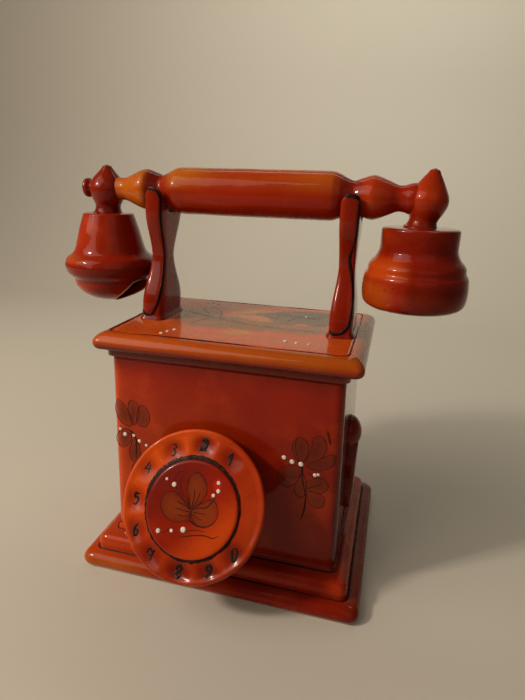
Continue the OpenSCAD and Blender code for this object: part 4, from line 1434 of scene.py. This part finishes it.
bellSizes = {"top": 16.4, "wall": 4.5, "holeRadius": 12.8, "holeTurn": -12.0, "holeDrop": 46.0,
             "holeRise": 4.0, "lip": 0.55, "flangeDrop": 48.6, "holeFall": 56.8, "drill": 60,
             "domeTop": 9.6, "domeWide": 24.3}


def bellOutside():
    wide, top, low = (bellHigh[0] - bellLow[0]) / 2, bellHigh[2], bellLow[2]
    flange = axisZ - bellSizes["flangeDrop"]
    flank = smoothPath([
        (bellSizes["top"] - 2.4, top), (bellSizes["top"] - 0.5, top - 0.5),
        (bellSizes["top"] + 0.2, top - 2.2), (17.9, top - 6.0), (19.6, top - 11.5),
        (22.0, top - 20.5), (23.6, flange + 9.0), (25.4, flange + 7.2), (28.2, flange + 5.0),
        (wide - 0.15, flange + 1.6), (wide, flange - 0.4), (wide - 1.1, flange - 4.2),
        (26.2, flange - 6.8), (24.9, flange - 8.0),
        (bellSizes["domeWide"], flange - bellSizes["domeTop"])], 5)
    start = flange - bellSizes["domeTop"]
    dome = [(bellSizes["domeWide"] * math.cos(a), start - (start - low) * math.sin(a))
            for a in np.linspace(0.08, math.pi / 2, 26)]
    return np.vstack([flank, dome]), flange


def makeBell():
    outside, flange = bellOutside()
    wall, top = bellSizes["wall"], bellHigh[2]
    slope = np.gradient(outside, axis=0)
    normal = np.column_stack([slope[:, 1], -slope[:, 0]])
    normal /= np.linalg.norm(normal, axis=1)[:, None]
    keep = outside[:, 1] < top - 3
    inside = outside[keep] + wall * normal[keep]
    inside[:, 0] = np.clip(inside[:, 0], 0.0, None)
    roof = top - wall
    inside = inside[(inside[:, 1] < roof - 1) & (inside[:, 0] > 0.6)]
    inside = inside[np.argsort(inside[:, 1])]
    floor = bellLow[2] + wall
    points, faces = turned(np.vstack([[(0, top)], [(6, top)], outside[:-1],
                                      [(0, outside[-1, 1])]]), 120, 0.012, 4)
    inner = np.vstack([[(0, floor)], inside, [(bellSizes["top"] - wall, roof), (0, roof)]])
    innerPoints, innerFaces = turned(inner, 96)
    shift = np.array([mouthX, 0, 0])
    shell = makePiece("mouthpieceBell", points + shift, faces, [orangeGlaze])
    hollow = makePiece("bellHollow", innerPoints + shift, innerFaces, [redGlaze])
    bore = bpy.data.meshes.new("bore")
    drill = bmesh.new()
    bmesh.ops.create_cone(drill, cap_ends=True, segments=72, radius1=holeRadius * mm,
                          radius2=holeRadius * mm, depth=bellSizes["drill"] * mm)
    drill.to_mesh(bore)
    drill.free()
    bore.transform(Matrix.Translation(Vector(holeStart * mm)) @ holeTurn.to_4x4()
                   @ Matrix.Translation((0, 0, bellSizes["drill"] / 2 * mm)))
    cutter = bpy.data.objects.new("bore", bore)
    scene.collection.objects.link(cutter)
    for tool in (hollow, cutter):
        cut = shell.modifiers.new("cut", "BOOLEAN")
        cut.operation, cut.solver, cut.object = "DIFFERENCE", "EXACT", tool
    plain = bakePiece(shell)
    bpy.data.objects.remove(hollow)
    bpy.data.objects.remove(cutter)
    while len(plain.materials) > 1:
        plain.materials.pop()
    plain.polygons.foreach_set("material_index", [0] * len(plain.polygons))
    plain.shade_smooth()
    plain.set_sharp_from_angle(angle=math.radians(50))
    x, y, z = pointsOf(shell).T
    leftward, rise = mouthX - x, z - flange
    outer = np.interp(z, outside[::-1, 1], outside[::-1, 0])
    within = ease(outer - np.hypot(leftward, y), 1.2, 3.0)
    underFlange = ease(rise, 3, 0) * ease(rise, -11, -6)
    dome = ease(rise, -5, -9) * ease(-leftward, -22, 14)
    ochreBand = ease(rise, 2, 4) * ease(rise, 9, 6) + ease(rise, -9, -15)
    # painted shade inside the hollow seen through the speaking hole, on the right, under the flange
    # and on the dome's right; painted light on the left above the flange; ochre bands on the left
    setTint(shell, deepAndPaintedShade=1.0 * within + 0.25 * ease(leftward, 12, -4) * (1 - within)
            + 0.50 * underFlange + 0.15 * dome,
            paintedLight=0.42 * ease(leftward, 8, 24) * (1 - within) * ease(rise, 1, 4),
            ochre=0.55 * (1 - within) * ease(leftward + 6, 2, 20) * ochreBand)
    return shell


holeRadius = bellSizes["holeRadius"]
holeWay = Vector((0, 0, 1))
holeTurn = (Matrix.Rotation(math.radians(bellSizes["holeTurn"]), 3, "Z")
            @ Matrix.Rotation(math.radians(90 + bellSizes["holeDrop"]), 3, "Y"))
holeStart = np.array([mouthX + bellSizes["holeRise"], 0,
                      axisZ - bellSizes["holeFall"] + bellSizes["holeRise"]])
mouthpieceBell = makeBell()
place(mouthpieceBell, "handset", "orange_glaze", "mouthpiece_bell")


def holeLip():
    # a pale painted highlight along the edge of the speaking hole
    order = bellOutside()[0][::-1]
    way = np.array(holeTurn @ holeWay)
    far = np.arange(0, 34, 0.05)
    out = []
    for a in turnAngles(72):
        ring = np.array(holeTurn @ Vector((holeRadius * math.cos(a), holeRadius * math.sin(a), 0)))
        p = holeStart + ring + far[:, None] * way
        r = np.hypot(p[:, 0] - mouthX, p[:, 1])
        edge = np.interp(p[:, 2], order[:, 1], order[:, 0], left=-1)
        out.append(p[np.argmax(r > edge - 0.15)])
    return np.array(out), bellSizes["lip"], way, True


speakingHoleLip = drawLines("speakingHoleLip", [holeLip()], orangeGlaze, 0.9, 14)
# painted highlight: the ribbon round the hole gets painted light, ochre and a pale paint
setTint(speakingHoleLip, ochre=0.5, paintedLight=0.6)
setColours(speakingHoleLip, "paint", np.tile((0.50, 0.31, 0.19, 0.8),
                                             (len(speakingHoleLip.data.vertices), 1)))
place(speakingHoleLip, "handset", "orange_glaze")

cupSizes = {"top": 21.6, "hollow": 22.0, "wall": 4.5, "bellyDrop": 51.2}


def makeCup():
    s = cupSizes
    wide, top, low = (cupHigh[0] - cupLow[0]) / 2, cupHigh[2], cupLow[2]
    belly = axisZ - s["bellyDrop"]
    profile = smoothPath([
        (s["top"] - 2.6, top), (s["top"] - 0.7, top - 0.45), (s["top"] + 0.1, top - 2.2),
        (s["top"] + 0.2, belly + 24.5), (22.6, belly + 21.6), (24.0, belly + 19.0),
        (26.2, belly + 16.6), (27.4, belly + 14.6), (27.7, belly + 12.2), (28.2, belly + 10.9),
        (29.3, belly + 9.2), (29.95, belly + 5.0), (wide, belly - 0.5), (29.4, low + 4.2),
        (28.0, low + 1.9), (25.4, low + 0.35), (23.8, low)], 6)
    under = smoothPath([
        (23.8, low), (22.4, low + 0.6), (s["hollow"] - 0.2, low + 2.4),
        (s["hollow"] - 0.4, belly + 5), (20.0, belly + 12), (17.2, belly + 20),
        (s["top"] - s["wall"] - 0.4, top - 9), (15.5, top - s["wall"] - 0.8),
        (12, top - s["wall"])], 5)
    points, faces = turned(np.vstack([[(0, top)], [(8, top)], profile, under[1:],
                                      [(0, top - s["wall"])]]), 132, 0.010, 9)
    piece = makePiece("earpieceCup", points + np.array([earX, 0, 0]), faces, [orangeGlaze])
    x, y, z = pointsOf(piece).T
    leftward, rise = earX - x, z - belly
    outer = np.interp(z, profile[::-1, 1], profile[::-1, 0])
    within = ease(outer - np.hypot(leftward, y), 1.2, 3.0) * (z < top - 2)
    band = ease(rise, 7, 11) * ease(rise, 22, 16)
    leftSide = ease(leftward, 1, 13) * (1 - within)
    below = ease(rise, 10, 4)
    # painted shade inside the cup, on its upper part, and on the belly and below it away from the
    # left side; painted light in a band on the left side; ochre on the left and low on the far right
    setTint(piece, deepAndPaintedShade=0.9 * within + 0.40 * ease(rise, 19, 24)
            + (1 - leftSide) * (0.30 * ease(rise, 22, 17) + 0.50 * below),
            paintedLight=0.42 * band * leftSide,
            ochre=0.30 * band * leftSide + 0.42 * below * ease(leftward, 8, 20) * (1 - within)
            + 0.25 * below * ease(-leftward, 20, 28))
    return piece


place(makeCup(), "handset", "orange_glaze", "earpiece_cup")
bpy.data.objects.remove(blob)
print("handset made")


# the floor, the lamps and the room are in metres
floorSizes = {"reach": 1.6, "back": 1.1, "round": 0.5, "height": 1.6, "drop": 0.0003,
              "colour": (0.56, 0.50, 0.42, 1), "rough": 0.6}


def makeFloor():
    s = floorSizes
    path = [(-s["reach"], 0.0)] + [(s["back"] - s["round"] + s["round"] * math.sin(a),
                             s["round"] - s["round"] * math.cos(a))
                            for a in np.linspace(0, math.pi / 2, 14)] + [(s["back"], s["height"])]
    points = [(x, y, z - s["drop"]) for y, z in path for x in (-s["reach"], s["reach"])]
    faces = [[2 * i, 2 * i + 1, 2 * i + 3, 2 * i + 2] for i in range(len(path) - 1)]
    mesh = bpy.data.meshes.new("paleFloor")
    mesh.from_pydata(points, [], faces)
    mesh.shade_smooth()
    material = bpy.data.materials.new("paleFloor")
    material.use_nodes = True
    shader = material.node_tree.nodes["Principled BSDF"]
    setInputs(shader, {"Base Color": s["colour"], "Roughness": s["rough"]})
    mesh.materials.append(material)
    floor = bpy.data.objects.new("paleFloor", mesh)
    scene.collection.objects.link(floor)


def addLamp(name, spot, target, size, power, colour):
    data = bpy.data.lights.new(name, "AREA")
    data.shape = "RECTANGLE"
    data.size, data.size_y = size
    data.energy = power
    data.color = colour
    lamp = bpy.data.objects.new(name, data)
    lamp.location = spot
    lamp.rotation_euler = (Vector(target) - Vector(spot)).to_track_quat("-Z", "Y").to_euler()
    scene.collection.objects.link(lamp)


makeFloor()
addLamp("keyLamp", (-0.80, -0.62, 0.80), (0, 0, 0.13), (0.12, 0.12), 8.0, (1.0, 0.90, 0.76))
addLamp("softLamp", (-0.76, -0.66, 0.98), (0, 0, 0.13), (1.05, 1.05), 8.0, (1.0, 0.90, 0.77))
addLamp("fillLamp", (0.55, -0.95, 0.85), (0, 0, 0.12), (1.0, 1.0), 0.8, (1.0, 0.92, 0.82))
addLamp("backLamp", (0.1, 0.42, 0.95), (0.1, 1.1, 0.40), (0.9, 0.4), 4.2, (0.96, 0.98, 0.88))
world = bpy.data.worlds.new("room")
world.use_nodes = True
setInputs(world.node_tree.nodes["Background"], {"Color": (0.62, 0.56, 0.47, 1), "Strength": 0.14})
scene.world = world
scene.view_settings.view_transform = "Standard"
print("light set")
